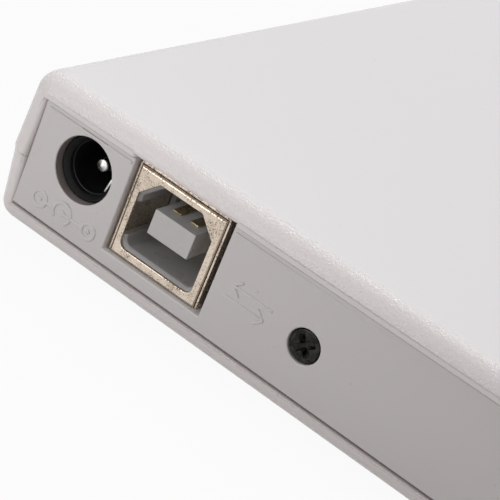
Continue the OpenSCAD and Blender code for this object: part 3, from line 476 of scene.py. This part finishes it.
board_green = finish("board_green", lacquered)
dress(board_green, "bridge_board", "drive_board", "tray_board")
chip_epoxy = finish("chip_epoxy", resin(CHIP_BLACK, CHIP_SHADE, scale=900, rough=0.50))
rounded_solids(chip_epoxy, ("bridge_chip", "bridge_chip_package", 0.08, 2),
               ("regulator", "regulator_package", 0.08, 2),
               ("drive_chip", "drive_chip_pair", 0.08, 2),
               ("eject_switch", "eject_switch_body", 0.08, 2))
nylon = finish("nylon", resin(NYLON, NYLON_SHADE, scale=500, rough=0.42))
rounded_solids(nylon, ("board_connector", "board_plug", 0.25, 3),
               ("rear_connector", "drive_plug", 0.25, 3),
               ("eject_plunger", "eject_plunger_rod", 0.25, 3))
bright = finish("bright_steel", metal(STEEL, STEEL_SHADE, scale=700, rough=0.24))
rounded_solids(bright, ("board_screws", "board_screw_pair", 0.15, 3),
               ("crystal", "crystal_can", 0.3, 3))
can_alu = finish("can_aluminium", metal(ALUMINIUM, ALUMINIUM_SHADE, scale=300, rough=0.30))
rounded_solids(can_alu, ("capacitors", "capacitor_cans", 0.35, 4))

# Data socket: a bent shell of tin-plated steel, with a hood bent over it, round a grey resin
# insulator. Its tongue carries four gilt contacts. The plating is blotched and has dark pits.
TIN = (0.72, 0.618, 0.515)
TIN_BROWN = (0.36, 0.275, 0.205)
TIN_PIT = (0.10, 0.07, 0.05)
PIT_RELIEF = 0.03 * MM
BEND_R = 0.32 * MM
BEND_STEPS = 5
WINDOW_EDGE = 0.10 * MM
SHELL_EDGE = 0.05 * MM
HOOD_OUT = 0.32 * MM
HOOD_T = 0.24 * MM
HOOD_BACK = 0.30 * MM
HOOD_LONG = 5.0 * MM
HOOD_STEPS = 4
HOOD_EDGE = 0.06 * MM
# Painted light and shade: the darker grey stands for shade in the socket round the tongue, the
# paler grey for light on the tongue.
RESIN_SHADED_GREY = (0.42, 0.42, 0.415)
TONGUE_LIT_GREY = (0.62, 0.62, 0.61)
GREY_RELIEF = 0.012 * MM
RESIN_BACK = 0.10 * MM
RESIN_SLOPE = 0.36 * MM
RESIN_EDGE = 0.12 * MM
TONGUE_W = 5.7 * MM
TONGUE_LOW = 4.05 * MM
TONGUE_H = 3.1 * MM
GILT = (0.60, 0.48, 0.29)
GILT_WORN = (0.27, 0.21, 0.135)


def tin_plate(wire):
    """Plated steel with brown blotches, which hold most of the dark pits."""
    blotch = wire.noise(420, detail=4.0, rough=0.7).ramp([(0.40, 0.0), (0.62, 1.0)])
    pits = wire.noise(4800, detail=3.0, rough=0.75)
    speck = (pits + 0.12 * blotch).ramp([(0.60, 0.0), (0.74, 1.0)])
    fresh = (0.3 * blotch).blend(TIN, TIN_BROWN)
    return {"Base Color": (speck * 0.85).blend(fresh, TIN_PIT), "Metallic": 0.85 - 0.3 * speck,
            "Roughness": 0.26 + 0.25 * speck, "height": 1.0 - speck, "relief": PIT_RELIEF}


def block(name, low, high):
    """A box between two corners, made at its size and place."""
    bpy.ops.object.select_all(action="DESELECT")
    bpy.ops.mesh.primitive_cube_add(size=1.0, location=[(a + b) / 2 for a, b in zip(low, high)],
                                    scale=[b - a for a, b in zip(low, high)])
    piece = bpy.context.object
    piece.name = name
    bpy.ops.object.transform_apply(location=True, rotation=True, scale=True)
    return piece


def on_hull(low, high):
    """A test for points on the sides, the top or the bottom of a box."""
    return lambda point: any(min(abs(point[i] - low[i]), abs(point[i] - high[i])) < TOUCH
                             for i in (0, 2))


plating = finish("tin_plate", tin_plate)
usb_low, usb_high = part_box("usb_shell")
shell_front = usb_high.y - TOUCH
on_shell = on_hull(usb_low, usb_high)
socket_shell = from_solid("usb_shell", "data_socket_shell")
sharp_edges(socket_shell, lambda point: on_shell(point) and point.y > shell_front,
            BEND_R, BEND_STEPS)
sharp_edges(socket_shell, lambda point: not on_shell(point) and point.y > shell_front,
            WINDOW_EDGE, 3)
soften(socket_shell, SHELL_EDGE, 2)
hood_front = usb_high.y - HOOD_BACK
hood = block("data_socket_hood", (usb_low.x - HOOD_OUT, hood_front - HOOD_LONG, usb_low.z),
             (usb_high.x + HOOD_OUT, hood_front, usb_high.z + HOOD_OUT))
shape(hood, lambda middle, normal: abs(normal.y) > FLAT or normal.z < -FLAT,
      (bpy.ops.mesh.delete, {"type": "FACE"}))
sharp_edges(hood, lambda point: point.z > usb_high.z, BEND_R, HOOD_STEPS)
apply(hood, "SOLIDIFY", thickness=HOOD_T, offset=-1.0, use_even_offset=True)
soften(hood, HOOD_EDGE, 2)
socket_shell = joined("data_socket_shell", [socket_shell, hood])
fit(socket_shell, plating, "usb_shell")


def grey_resins(wire):
    """The resin: paler on the tongue, a painted light, and darker elsewhere, a painted shade in
    the socket.
    """
    mottle = wire.noise(350, detail=3.0).ramp([(0.35, 0.0), (0.65, 1.0)])
    # Painted light: the tongue is paler than the rest of the insulator, which is painted darker as
    # shade.
    aside = wire.maths("ABSOLUTE", wire.place("X") - tongue_x)
    height = wire.place("Z") - (usb_low.z + TONGUE_LOW)
    tongue = ((1.0 - aside.over(TONGUE_W / 2 + TOUCH)) * height.over(-TOUCH)
              * (1.0 - height.over(TONGUE_H + TOUCH)))
    return {"Base Color": (tongue - 0.08 * mottle).blend(RESIN_SHADED_GREY, TONGUE_LIT_GREY),
            "Roughness": 0.26 + 0.1 * mottle, "height": wire.noise(2100),
            "relief": GREY_RELIEF}


tongue_x = (usb_low.x + usb_high.x) / 2
grey_resin = finish("grey_resin", grey_resins)
resin_low, resin_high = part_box("usb_insulator")
resin_front = resin_high.y - RESIN_BACK
on_resin = on_hull(resin_low, resin_high)
insulator = from_solid("usb_insulator", "data_socket_insulator")
shape(insulator, lambda middle, normal: normal.y > FLAT and middle.y > resin_high.y - TOUCH,
      push(0, -RESIN_BACK, 0))
sharp_edges(insulator, lambda point: abs(point.y - resin_front) < TOUCH and not on_resin(point),
            RESIN_SLOPE, 1)
soften(insulator, RESIN_EDGE, 3)
fit(insulator, grey_resin, "usb_insulator")
gilt = finish("gilt", metal(GILT, GILT_WORN, scale=1500, rough=0.46))
rounded_solids(gilt, ("usb_contacts", "data_socket_contacts", 0.07, 3))

# Power inlet: a matt black moulded body with a funnel mouth, a lip in its bore, a nickel centre
# pin with a groove behind its domed tip, and a leaf spring that presses on the plug's sleeve.
BODY_BLACK = (0.009, 0.009, 0.010)
BODY_SHADE = (0.013, 0.013, 0.014)
BODY_SHINE = 0.2
BODY_EDGE = 0.1 * MM
INLET_X = 60.4 * MM
INLET_Z = 11.95 * MM
NOSE_R = 3.75 * MM
NOSE_TURN = 0.3
MOUTH_R = 3.52 * MM
MOUTH_EDGE = 0.14 * MM
MOUTH_BACK = 1.6 * MM
MOUTH_STEPS = 72
FUNNEL_EASE = 0.05 * MM
FUNNEL_DEEP = 0.5 * MM
BORE_R = 3.05 * MM
BORE_FROM = 0.6 * MM
BORE_TO = 1.1 * MM
LIP_R = 2.94 * MM
LIP_EDGE = 0.08 * MM
LIP_AT = 1.2 * MM
NICKEL = (0.74, 0.74, 0.73)
NICKEL_SHADE = (0.55, 0.53, 0.50)
NICKEL_RELIEF = 0.02 * MM
PIN_GROOVE = (1.35 * MM, 1.2 * MM, 1.0 * MM, 0.85 * MM)
PIN_NECK = 0.18 * MM
PIN_SHOULDER = 0.45
PIN_DOME = 0.9
PIN_STEPS = 40
ALONG = Vector((0, 1, 0))
ABOVE = Vector((0, 0, 1))


def lathe(name, outline, centre, steps, angle=2 * math.pi, closed=False):
    """A turned piece: (radius, height) points spun about the depth through a centre."""
    points = [Vector(centre) + ABOVE * radius + ALONG * height for radius, height in outline]
    lines = [(i, i + 1) for i in range(len(points) - 1)] + [(len(points) - 1, 0)] * closed
    mesh = bpy.data.meshes.new(name)
    mesh.from_pydata(points, lines, [])
    piece = bpy.data.objects.new(name, mesh)
    bpy.context.collection.objects.link(piece)
    spin = {"steps": steps, "angle": angle, "center": centre, "axis": ALONG}
    edit(piece, (bpy.ops.mesh.spin, spin),
         (bpy.ops.mesh.select_all, {"action": "SELECT"}),
         (bpy.ops.mesh.remove_doubles, {"threshold": DOUBLES}),
         (bpy.ops.mesh.fill_holes, {"sides": 0}),
         (bpy.ops.mesh.normals_make_consistent, {"inside": False}))
    return piece


def rounded(radius, middle_r, middle_h, first, last, steps):
    """Points of an arc in a lathe's outline, in degrees from the radius towards the height."""
    turns = [math.radians(first + (last - first) * i / steps) for i in range(steps + 1)]
    return [(middle_r + radius * math.cos(a), middle_h + radius * math.sin(a)) for a in turns]


def matt_black(wire):
    """The body's resin, which hardly shines."""
    inputs = resin(BODY_BLACK, BODY_SHADE, scale=700, rough=0.40)(wire)
    inputs["Specular IOR Level"] = BODY_SHINE
    return inputs


black_body = finish("inlet_black", matt_black)
nose_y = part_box("inlet_body")[1].y
inlet = from_solid("inlet_body", "inlet_housing")
shape(inlet, lambda middle, normal: normal.y > NOSE_TURN and middle.y > nose_y - MOUTH_BACK / 2,
      push(0, -MOUTH_BACK, 0))
soften(inlet, BODY_EDGE, 3)
mouth = lathe("inlet_mouth",
              [(NOSE_R, -MOUTH_BACK), (NOSE_R, -MOUTH_EDGE)]
              + rounded(MOUTH_EDGE, NOSE_R - MOUTH_EDGE, -MOUTH_EDGE, 0, 90, 4)
              + [(MOUTH_R, 0), (BORE_R + FUNNEL_EASE, -FUNNEL_DEEP),
                 (BORE_R, -BORE_FROM), (BORE_R, -BORE_TO)]
              + rounded(LIP_EDGE, LIP_R + LIP_EDGE, -LIP_AT, 90, 180, 4) + [(LIP_R, -MOUTH_BACK)],
              (INLET_X, nose_y, INLET_Z), steps=MOUTH_STEPS, closed=True)
soften(mouth, 0)
inlet = joined("inlet_housing", [inlet, mouth])
fit(inlet, black_body, "inlet_body")

nickel_metal = metal(NICKEL, NICKEL_SHADE, scale=2600, rough=0.16, relief=NICKEL_RELIEF)
nickel = finish("nickel", nickel_metal)
pin_low, pin_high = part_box("inlet_pin")
pin_r = (pin_high.x - pin_low.x) / 2
tip = pin_high.y - pin_low.y
neck = zip((pin_r, pin_r - PIN_NECK, pin_r - PIN_NECK, pin_r), PIN_GROOVE)
shoulder = pin_r * (1 - PIN_SHOULDER)
pin = lathe("inlet_centre_pin",
            [(0, 0), (pin_r, 0)] + [(radius, tip - back) for radius, back in neck]
            + rounded(pin_r * PIN_SHOULDER, shoulder, tip - shoulder, 0, 60, 6)
            + rounded(pin_r * PIN_DOME, 0, tip - pin_r * PIN_DOME, 60, 90, 4),
            (INLET_X, pin_low.y, INLET_Z), steps=PIN_STEPS)
soften(pin, 0)
fit(pin, nickel, "inlet_pin")
rounded_solids(nickel, ("inlet_spring", "inlet_leaf_spring", 0.08, 3))

# Drive pan and lid: pressed steel, zinc plated, screwed together round the tray. The plating
# has pale spangles, and the pressed edges are broken by the tool.
ZINC = (0.66, 0.67, 0.68)
ZINC_GREY = (0.52, 0.53, 0.55)


def zinc(wire):
    """Zinc plating, with a shade and a gloss of its own for each spangle."""
    spangle = wire.cells(260, "Color")
    return {"Base Color": spangle.blend(ZINC, ZINC_GREY), "Metallic": 1.0,
            "Roughness": 0.30 + 0.16 * spangle, "height": wire.noise(2200),
            "relief": METAL_RELIEF}


zinc_plate = finish("zinc_plate", zinc)
rounded_solids(zinc_plate, ("drive_chassis", "drive_pan", 0.12, 2),
               ("drive_cover", "drive_lid", 0.15, 2))
rounded_solids(bright, ("cover_screws", "lid_screws", 0.12, 3))

# Flat cable: amber polyimide film with copper runs laminated in it. It comes from the drive's
# board and lies on the pan's floor under the tray.
AMBER = (0.45, 0.20, 0.035)
COPPER = (0.62, 0.36, 0.16)
FILM_RUNS = 1000
FILM_RELIEF = 0.02 * MM


def film(wire):
    """Clear amber film over straight copper runs."""
    run = wire.place("X").cycle(FILM_RUNS).over(0.5)
    return {"Base Color": run.blend(AMBER, COPPER), "Roughness": 0.22 + 0.1 * wire.noise(400),
            "height": run, "relief": FILM_RELIEF, "Coat Weight": 0.4}


amber_film = finish("amber_film", film)
dress(amber_film, "flex_cable")

# Foam pads: strips cut from closed-cell foam and stuck on the lid. They press against the upper
# shell and hold the drive down.
FOAM = (0.055, 0.055, 0.058)
FOAM_PORE = (0.02, 0.02, 0.021)
PORE_RELIEF = 0.15 * MM


def foam(wire):
    """Dull foam with dark pores."""
    pore = wire.cells(1500).ramp([(0.0, 0.0), (0.6, 1.0)])
    return {"Base Color": pore.blend(FOAM_PORE, FOAM), "Roughness": 0.9,
            "height": pore, "relief": PORE_RELIEF}


foam_grey = finish("foam_grey", foam)
rounded_solids(foam_grey, ("cushion_pads", "foam_strips", 0.3, 3))

# Guides and rails: black acetal guides riveted to the pan, and rolled steel rails that run in
# them and in the tray's grooves.
ACETAL = (0.02, 0.02, 0.021)
ACETAL_SHADE = (0.032, 0.032, 0.034)
RAIL = (0.36, 0.36, 0.37)
RAIL_SHADE = (0.27, 0.27, 0.28)
acetal = finish("acetal", resin(ACETAL, ACETAL_SHADE, scale=500, rough=0.34))
rounded_solids(acetal, ("left_guide", "left_guide_strip", 0.12, 3),
               ("right_guide", "right_guide_strip", 0.12, 3))
rail_steel = finish("rail_steel", metal(RAIL, RAIL_SHADE, scale=240, rough=0.34))
rounded_solids(rail_steel, ("left_rail", "left_rail_bar", 0.12, 3),
               ("right_rail", "right_rail_bar", 0.12, 3))

# Tray: a dark moulded plate with the round disc recess, a latch hook of the same plastic, and a
# thin cover in black lacquer over the mechanism.
TRAY_GREY = (0.030, 0.030, 0.032)
TRAY_LIT_EDGES = (0.040, 0.040, 0.042)
TRAY_GRAIN = 2600
TRAY_ROUGH = 0.33
FINE_RELIEF = 0.05 * MM
LID_BLACK = (0.018, 0.018, 0.02)
LID_SHADE = (0.026, 0.026, 0.028)
# The tray's edge colour is a painted light on its turned faces, as on the case.
tray_plastic = moulded(TRAY_GREY, TRAY_LIT_EDGES, TRAY_GRAIN, TRAY_ROUGH, FINE_RELIEF)
tray_abs = finish("tray_abs", tray_plastic)
rounded_solids(tray_abs, ("tray", "tray_plate", 0.2, 3), ("latch_lever", "latch_hook", 0.15, 3))
lacquer_black = finish("black_lacquer", resin(LID_BLACK, LID_SHADE, scale=1200, rough=0.32))
rounded_solids(lacquer_black, ("mechanism_cover", "mechanism_lid", 0.1, 3))

# Traverse: a dark steel frame hung on rubber dampers under the tray, with the spindle motor, the
# guide rods, the cast sled with its lens, the lead screw and its stepper. A second steel plate
# closes the tray from below, and the latch's coil sits beside it.
DARK_STEEL = (0.17, 0.17, 0.175)
DARK_SHADE = (0.12, 0.12, 0.125)
MOTOR_STEEL = (0.50, 0.47, 0.42)
MOTOR_SHADE = (0.38, 0.36, 0.33)
CAST = (0.44, 0.45, 0.47)
CAST_SHADE = (0.34, 0.35, 0.37)
CAST_RELIEF = 0.03 * MM
HUB_GREY = (0.09, 0.09, 0.095)
HUB_SHADE = (0.12, 0.12, 0.125)
LENS_BLUE = (0.62, 0.68, 0.92)
CLEAR_SHARE = 0.75
CLEAR_IOR = 1.49
dark_steel = finish("dark_steel", metal(DARK_STEEL, DARK_SHADE, scale=420, rough=0.50))
rounded_solids(dark_steel, ("traverse_frame", "traverse_plate", 0.1, 2),
               ("tray_bottom_cover", "tray_underplate", 0.1, 2))
motor_steel = finish("motor_steel", metal(MOTOR_STEEL, MOTOR_SHADE, scale=600, rough=0.32))
rounded_solids(motor_steel, ("spindle_motor", "spindle_motor_base", 0.15, 3),
               ("latch_solenoid", "latch_coil", 0.15, 3))
rounded_solids(bright, ("guide_rods", "guide_rod_pair", 0.15, 3),
               ("lead_screw", "lead_screw_shaft", 0.15, 3),
               ("sled_motor", "stepper_can", 0.15, 3))
rounded_solids(foot_rubber, ("dampers", "damper_grommets", 0.15, 3))
cast_metal = metal(CAST, CAST_SHADE, scale=900, rough=0.42, relief=CAST_RELIEF)
cast_alloy = finish("cast_alloy", cast_metal)
rounded_solids(cast_alloy, ("pickup_sled", "sled_casting", 0.2, 3))
rounded_solids(acetal, ("lens_holder", "lens_carrier", 0.15, 3))
hub_grey = finish("hub_grey", resin(HUB_GREY, HUB_SHADE, scale=600, rough=0.38))
rounded_solids(hub_grey, ("turntable", "disc_platter", 0.15, 3))
rounded_solids(nylon, ("hub_jaws", "hub_grippers", 0.12, 3))


def clear(tint, rough):
    """Clear moulded plastic or glass with faint streaks."""
    def build(wire):
        streak = wire.noise(300)
        return {"Base Color": streak.blend(tint, [0.9 * part for part in tint]),
                "Roughness": rough + 0.05 * streak, "Transmission Weight": CLEAR_SHARE,
                "IOR": CLEAR_IOR}
    return build


lens_glass = finish("lens_glass", clear(LENS_BLUE, rough=0.03))
rounded_solids(lens_glass, ("objective_lens", "objective_dome", 0.35, 5))

# Bezel: the tray's front, ABS like the case, with the eject button, the lamp's lens and the
# pinhole of the emergency release. It is clipped to the tray.
BEZEL_ROUGH = 0.30
LAMP_GREEN = (0.50, 0.78, 0.55)
# The bezel's turned faces take the case's painted light on its edges.
bezel_plastic = moulded(CASE_WHITE, CASE_LIT_EDGES, CASE_GRAIN, BEZEL_ROUGH, FINE_RELIEF)
bezel_abs = finish("bezel_abs", bezel_plastic)
rounded_solids(bezel_abs, ("tray_bezel", "tray_front", 0.12, 3),
               ("eject_button", "eject_key", 0.3, 4))
lamp_clear = finish("lamp_clear", clear(LAMP_GREEN, rough=0.12))
rounded_solids(lamp_clear, ("indicator_lens", "lamp_lens", 0.2, 4))

# Upper shell: the lid of the case, the second ABS moulding, which meets the lower one at a
# fine gap along the sides.
PARTING_GAP = 0.08 * MM
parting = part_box("upper_shell")[0].z
upper_half = from_solid("upper_shell", "case_upper_half")
shape(upper_half, lambda middle, normal: normal.z < -FLAT and abs(middle.z - parting) < TOUCH,
      push(0, 0, PARTING_GAP))
round_case(upper_half)
fit(upper_half, case_abs, "upper_shell")

# Rear panel: a separate ABS plate behind the rear rim, held by two screws. Its face is smoother
# than the case's, its holes have rounded lips, and fine signs and beads stand proud of it. The
# wall of the inlet's hole has a painted brown shade.
PANEL_WHITE = (0.685, 0.672, 0.666)
PANEL_GRAIN = CASE_GRAIN * 0.8
PANEL_ROUGH = 0.26
PANEL_RELIEF = 0.03 * MM
PANEL_EDGE = 0.18 * MM
PLATE_T = 1.5 * MM
PLATE_SIDE = 66.0 * MM
PLATE_GROW = 0.15 * MM
HOLE_R = 4.8 * MM
# Painted shade: the brown on the wall of the inlet's hole.
HOLE_SHADE_BROWN = (0.20, 0.15, 0.13)
SIGN_UP = 0.16 * MM
SIGN_W = 0.32 * MM
SIGN_EDGE = 0.7 * SIGN_UP
RING_STEP = 9
RING_LEAST = 8
POLE_Z = 5.95
RING_ROWS = ((64.4, POLE_Z, 0.95), (61.05, POLE_Z, 1.25, 130, 280), (61.05, POLE_Z, 0.2),
             (57.15, POLE_Z, 0.9))
POLE_BARS = ((64.7, POLE_Z, 64.1, POLE_Z), (63.4, POLE_Z, 62.4, POLE_Z),
             (60.8, POLE_Z, 58.1, POLE_Z), (57.45, POLE_Z, 56.85, POLE_Z),
             (57.15, POLE_Z + 0.3, 57.15, POLE_Z - 0.3))
ARROW_BARS = ((33.0, 10.9, 38.4, 10.9), (38.4, 10.9, 37.3, 11.8), (38.4, 10.9, 37.3, 10.0),
              (39.0, 9.3, 33.6, 9.3), (33.6, 9.3, 34.7, 10.2), (33.6, 9.3, 34.7, 8.4))
BEAD_Z = 16.15
BEAD_W = 0.4 * MM
BEAD_ROWS = ((67.2, 55.0, 0.0), (40.5, 14.0, 0.20 * MM))


def panel_plastic(wire):
    """Smooth plastic, with a painted brown shade on the wall of the hole for the inlet."""
    inputs = moulded(PANEL_WHITE, PANEL_WHITE, PANEL_GRAIN, PANEL_ROUGH, PANEL_RELIEF)(wire)
    # Painted shade: the hole's walls, which do not face straight out, turn brown near the inlet.
    aside = wire.place("X") - INLET_X
    above = wire.place("Z") - INLET_Z
    near = 1.0 - (aside * aside + above * above).over(HOLE_R * HOLE_R)
    wall = near * wire.facing("Y").ramp([(0.25, 0.75), (0.90, 0.0)])
    inputs["Base Color"] = wall.blend(inputs["Base Color"], HOLE_SHADE_BROWN)
    return inputs


panel_abs = finish("panel_abs", panel_plastic)
panel_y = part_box("rear_panel")[1].y
panel = from_solid("rear_panel", "rear_panel_plate")
for side in (-1, 1):
    shape(panel, lambda middle, normal: normal.x * side > FLAT and middle.y > panel_y - PLATE_T
          and middle.x * side > PLATE_SIDE, push(side * PLATE_GROW, 0, 0))
soften(panel, PANEL_EDGE, 4)


def raised_ring(x, z, radius, start=0.0, sweep=360.0):
    """A fine ring, or part of one, that stands proud of the panel. Sizes are in millimetres."""
    inner = radius * MM - SIGN_W / 2
    outer = radius * MM + SIGN_W / 2
    outline = ([(inner, -SIGN_UP)] + rounded(SIGN_UP, inner + SIGN_EDGE, 0, 150, 90, 3)
               + rounded(SIGN_UP, outer - SIGN_EDGE, 0, 90, 30, 3) + [(outer, -SIGN_UP)])
    steps = max(RING_LEAST, round(sweep / RING_STEP))
    ring = lathe("sign_ring", outline, (x * MM, panel_y, z * MM), steps,
                 angle=math.radians(sweep), closed=True)
    centre = Matrix.Translation((x * MM, 0, z * MM))
    ring.data.transform(centre @ Matrix.Rotation(math.radians(start), 4, "Y") @ centre.inverted())
    return ring


def raised_bar(x0, z0, x1, z1, width=SIGN_W, sink=0.0):
    """A fine straight bar that stands proud of the panel, and may sink into it at its end."""
    half = math.hypot(x1 - x0, z1 - z0) * MM / 2
    bar = block("sign_bar", (-half, -SIGN_UP, -width / 2), (half, SIGN_UP, width / 2))
    sharp_edges(bar, lambda point: point.y > 0, SIGN_EDGE, 3)
    shape(bar, lambda middle, normal: middle.x > half - SIGN_UP, push(0, -sink, 0))
    turn = Matrix.Rotation(math.atan2(z0 - z1, x1 - x0), 4, "Y")
    middle = Matrix.Translation(((x0 + x1) / 2 * MM, panel_y, (z0 + z1) / 2 * MM))
    bar.data.transform(middle @ turn)
    return bar


signs = [raised_ring(*row) for row in RING_ROWS]
signs += [raised_bar(*row) for row in POLE_BARS + ARROW_BARS]
signs += [raised_bar(x0, BEAD_Z, x1, BEAD_Z, BEAD_W, sink) for x0, x1, sink in BEAD_ROWS]
for sign in signs:
    soften(sign, 0)
panel = joined("rear_panel_plate", [panel] + signs)
fit(panel, panel_abs, "rear_panel")

# Panel screws: black-oxide machine screws, one each side. The head is turned, and the cross
# recess is punched in it, so its walls slope inwards.
SCREW_R = 1.95 * MM
SCREW_SINK = 0.15 * MM
SCREW_STEPS = 56
HEAD_T = 0.9 * MM
HEAD_EDGE = 0.3 * MM
THREAD_R = 1.0 * MM
CROSS_LONG = 3.0 * MM
CROSS_W = 0.95 * MM
CROSS_DEEP = 0.85 * MM
CROSS_TAPER = 0.5
CROSS_TURN = 38.0
CROSS_EDGE = 0.05 * MM
OXIDE = (0.008, 0.0075, 0.007)
OXIDE_WORN = (0.030, 0.027, 0.024)
OXIDE_RELIEF = 0.02 * MM


def black_oxide(wire):
    """Blackened steel, browner and duller where it is worn."""
    patches = wire.noise(1800, detail=3.0).ramp([(0.42, 0.0), (0.62, 1.0)])
    return {"Base Color": patches.blend(OXIDE, OXIDE_WORN), "Metallic": 0.75,
            "Roughness": 0.26 + 0.22 * patches, "height": wire.noise(5200),
            "relief": OXIDE_RELIEF}


screws_low, screws_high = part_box("panel_screws")
screw_at = Vector((screws_high.x - SCREW_R, panel_y - SCREW_SINK,
                   (screws_low.z + screws_high.z) / 2))
thread_end = screws_low.y - screw_at.y
screw = lathe("panel_screw",
              [(0, thread_end), (THREAD_R, thread_end), (THREAD_R, -HEAD_T), (SCREW_R, -HEAD_T),
               (SCREW_R, -HEAD_EDGE)]
              + rounded(HEAD_EDGE, SCREW_R - HEAD_EDGE, -HEAD_EDGE, 0, 90, 5) + [(0, 0)],
              screw_at, steps=SCREW_STEPS)
arms = []
for turn in (CROSS_TURN, CROSS_TURN + 90):
    arm = block("cross_arm", (-CROSS_LONG / 2, -CROSS_DEEP, -CROSS_W / 2),
                (CROSS_LONG / 2, SCREW_SINK, CROSS_W / 2))
    shape(arm, lambda middle, normal: normal.y < -FLAT,
          (bpy.ops.transform.resize, {"value": (CROSS_TAPER, 1, CROSS_TAPER)}))
    arm.data.transform(Matrix.Translation(screw_at) @ Matrix.Rotation(math.radians(turn), 4, "Y"))
    arms.append(arm)
for arm in arms:
    apply(screw, "BOOLEAN", object=arm, operation="DIFFERENCE", solver="EXACT")
    bpy.data.objects.remove(arm)
soften(screw, CROSS_EDGE, 2)
to_left = Matrix.Translation((screws_low.x + SCREW_R - screw_at.x, 0, 0))
twin = copy_of(screw, "panel_screw", to_left)
screws = joined("panel_screw_pair", [screw, twin])
oxide = finish("black_oxide", black_oxide)
fit(screws, oxide, "panel_screws")

# Studio: a plain pale floor under a white sky. One lamp stands beyond the drive as the camera
# sees it, a small one close to the rear panel, and a broad one hangs over it. What the camera
# and bright metal see of floor and sky is white.
FLOOR_SIZE = 4.0
FLOOR_GAP = 0.05 * MM
FLOOR_WHITE = (0.58, 0.55, 0.545)
SHADOW_SHARE = 0.06
SKY_LIGHT = 0.27
SKY_WARM = (1.0, 0.94, 0.935)
PURE_WHITE = (1.0, 1.0, 1.0, 1.0)
LAMPS = (("rim_lamp", (0.41, -0.48, 0.70), 0.22, 1.8),
         ("front_lamp", (0.087, 0.170, 0.050), 0.06, 0.036),
         ("top_lamp", (-0.10, -0.10, 0.90), 0.60, 3.9))


def seen(wire):
    """One for the rays that show the background: camera, glossy and transmitted ones."""
    camera_ray, glossy_ray, clear_ray = (wire.node("LightPath", {}, {}, "Is %s Ray" % kind)
                                         for kind in ("Camera", "Glossy", "Transmission"))
    return wire.maths("MAXIMUM", camera_ray, wire.maths("MAXIMUM", glossy_ray, clear_ray))


bpy.ops.object.select_all(action="DESELECT")
bpy.ops.mesh.primitive_plane_add(size=FLOOR_SIZE, location=(0, 0, -FLOOR_GAP))
floor = bpy.context.object
floor.name = "floor"
paper = bpy.data.materials.new("paper")
paper.use_nodes = True
paper.node_tree.nodes.clear()
wire = Wire(paper.node_tree)
matt = wire.node("BsdfDiffuse", {}, {"Color": (*FLOOR_WHITE, 1.0)})
glow = wire.node("Emission", {}, {"Color": PURE_WHITE, "Strength": 1.0})
sheet = wire.node("MixShader", {}, {0: seen(wire) * (1.0 - SHADOW_SHARE), 1: matt, 2: glow})
wire.node("OutputMaterial", {}, {"Surface": sheet})
floor.data.materials.append(paper)

world = bpy.data.worlds.new("studio")
bpy.context.scene.world = world
world.use_nodes = True
world.node_tree.nodes.clear()
wire = Wire(world.node_tree)
sky = wire.node("Background", {}, {"Color": (*SKY_WARM, 1.0), "Strength": SKY_LIGHT})
white = wire.node("Background", {}, {"Color": PURE_WHITE, "Strength": 1.0})
both = wire.node("MixShader", {}, {0: seen(wire), 1: sky, 2: white})
wire.node("OutputWorld", {}, {"Surface": both})

for name, place, size, power in LAMPS:
    lamp = bpy.data.lights.new(name, "AREA")
    lamp.size = size
    lamp.energy = power
    lamp_holder = bpy.data.objects.new(name, lamp)
    bpy.context.collection.objects.link(lamp_holder)
    lamp_holder.location = place
    lamp_holder.visible_camera = False
    lamp_holder.rotation_euler = (-lamp_holder.location).to_track_quat("-Z", "Y").to_euler()

# Camera: a long lens close to the rear corner with the sockets, turned about its own axis.
LENS = 134.46
SENSOR = 36.0
EYE = (-34.77 * MM, 234.46 * MM, 99.77 * MM)
RIGHT = (-0.76623, -0.53763, 0.35191)
UP = (0.52148, -0.20031, 0.82942)
BACK = (-0.37543, 0.81904, 0.43384)

camera = bpy.data.objects.new("camera", bpy.data.cameras.new("camera"))
bpy.context.collection.objects.link(camera)
camera.data.lens = LENS
camera.data.sensor_width = SENSOR
camera.data.clip_start = MM
rows = [[RIGHT[i], UP[i], BACK[i], EYE[i]] for i in range(3)]
camera.matrix_world = Matrix(rows + [[0, 0, 0, 1]])
bpy.context.scene.camera = camera
bpy.context.scene.view_settings.view_transform = "Standard"
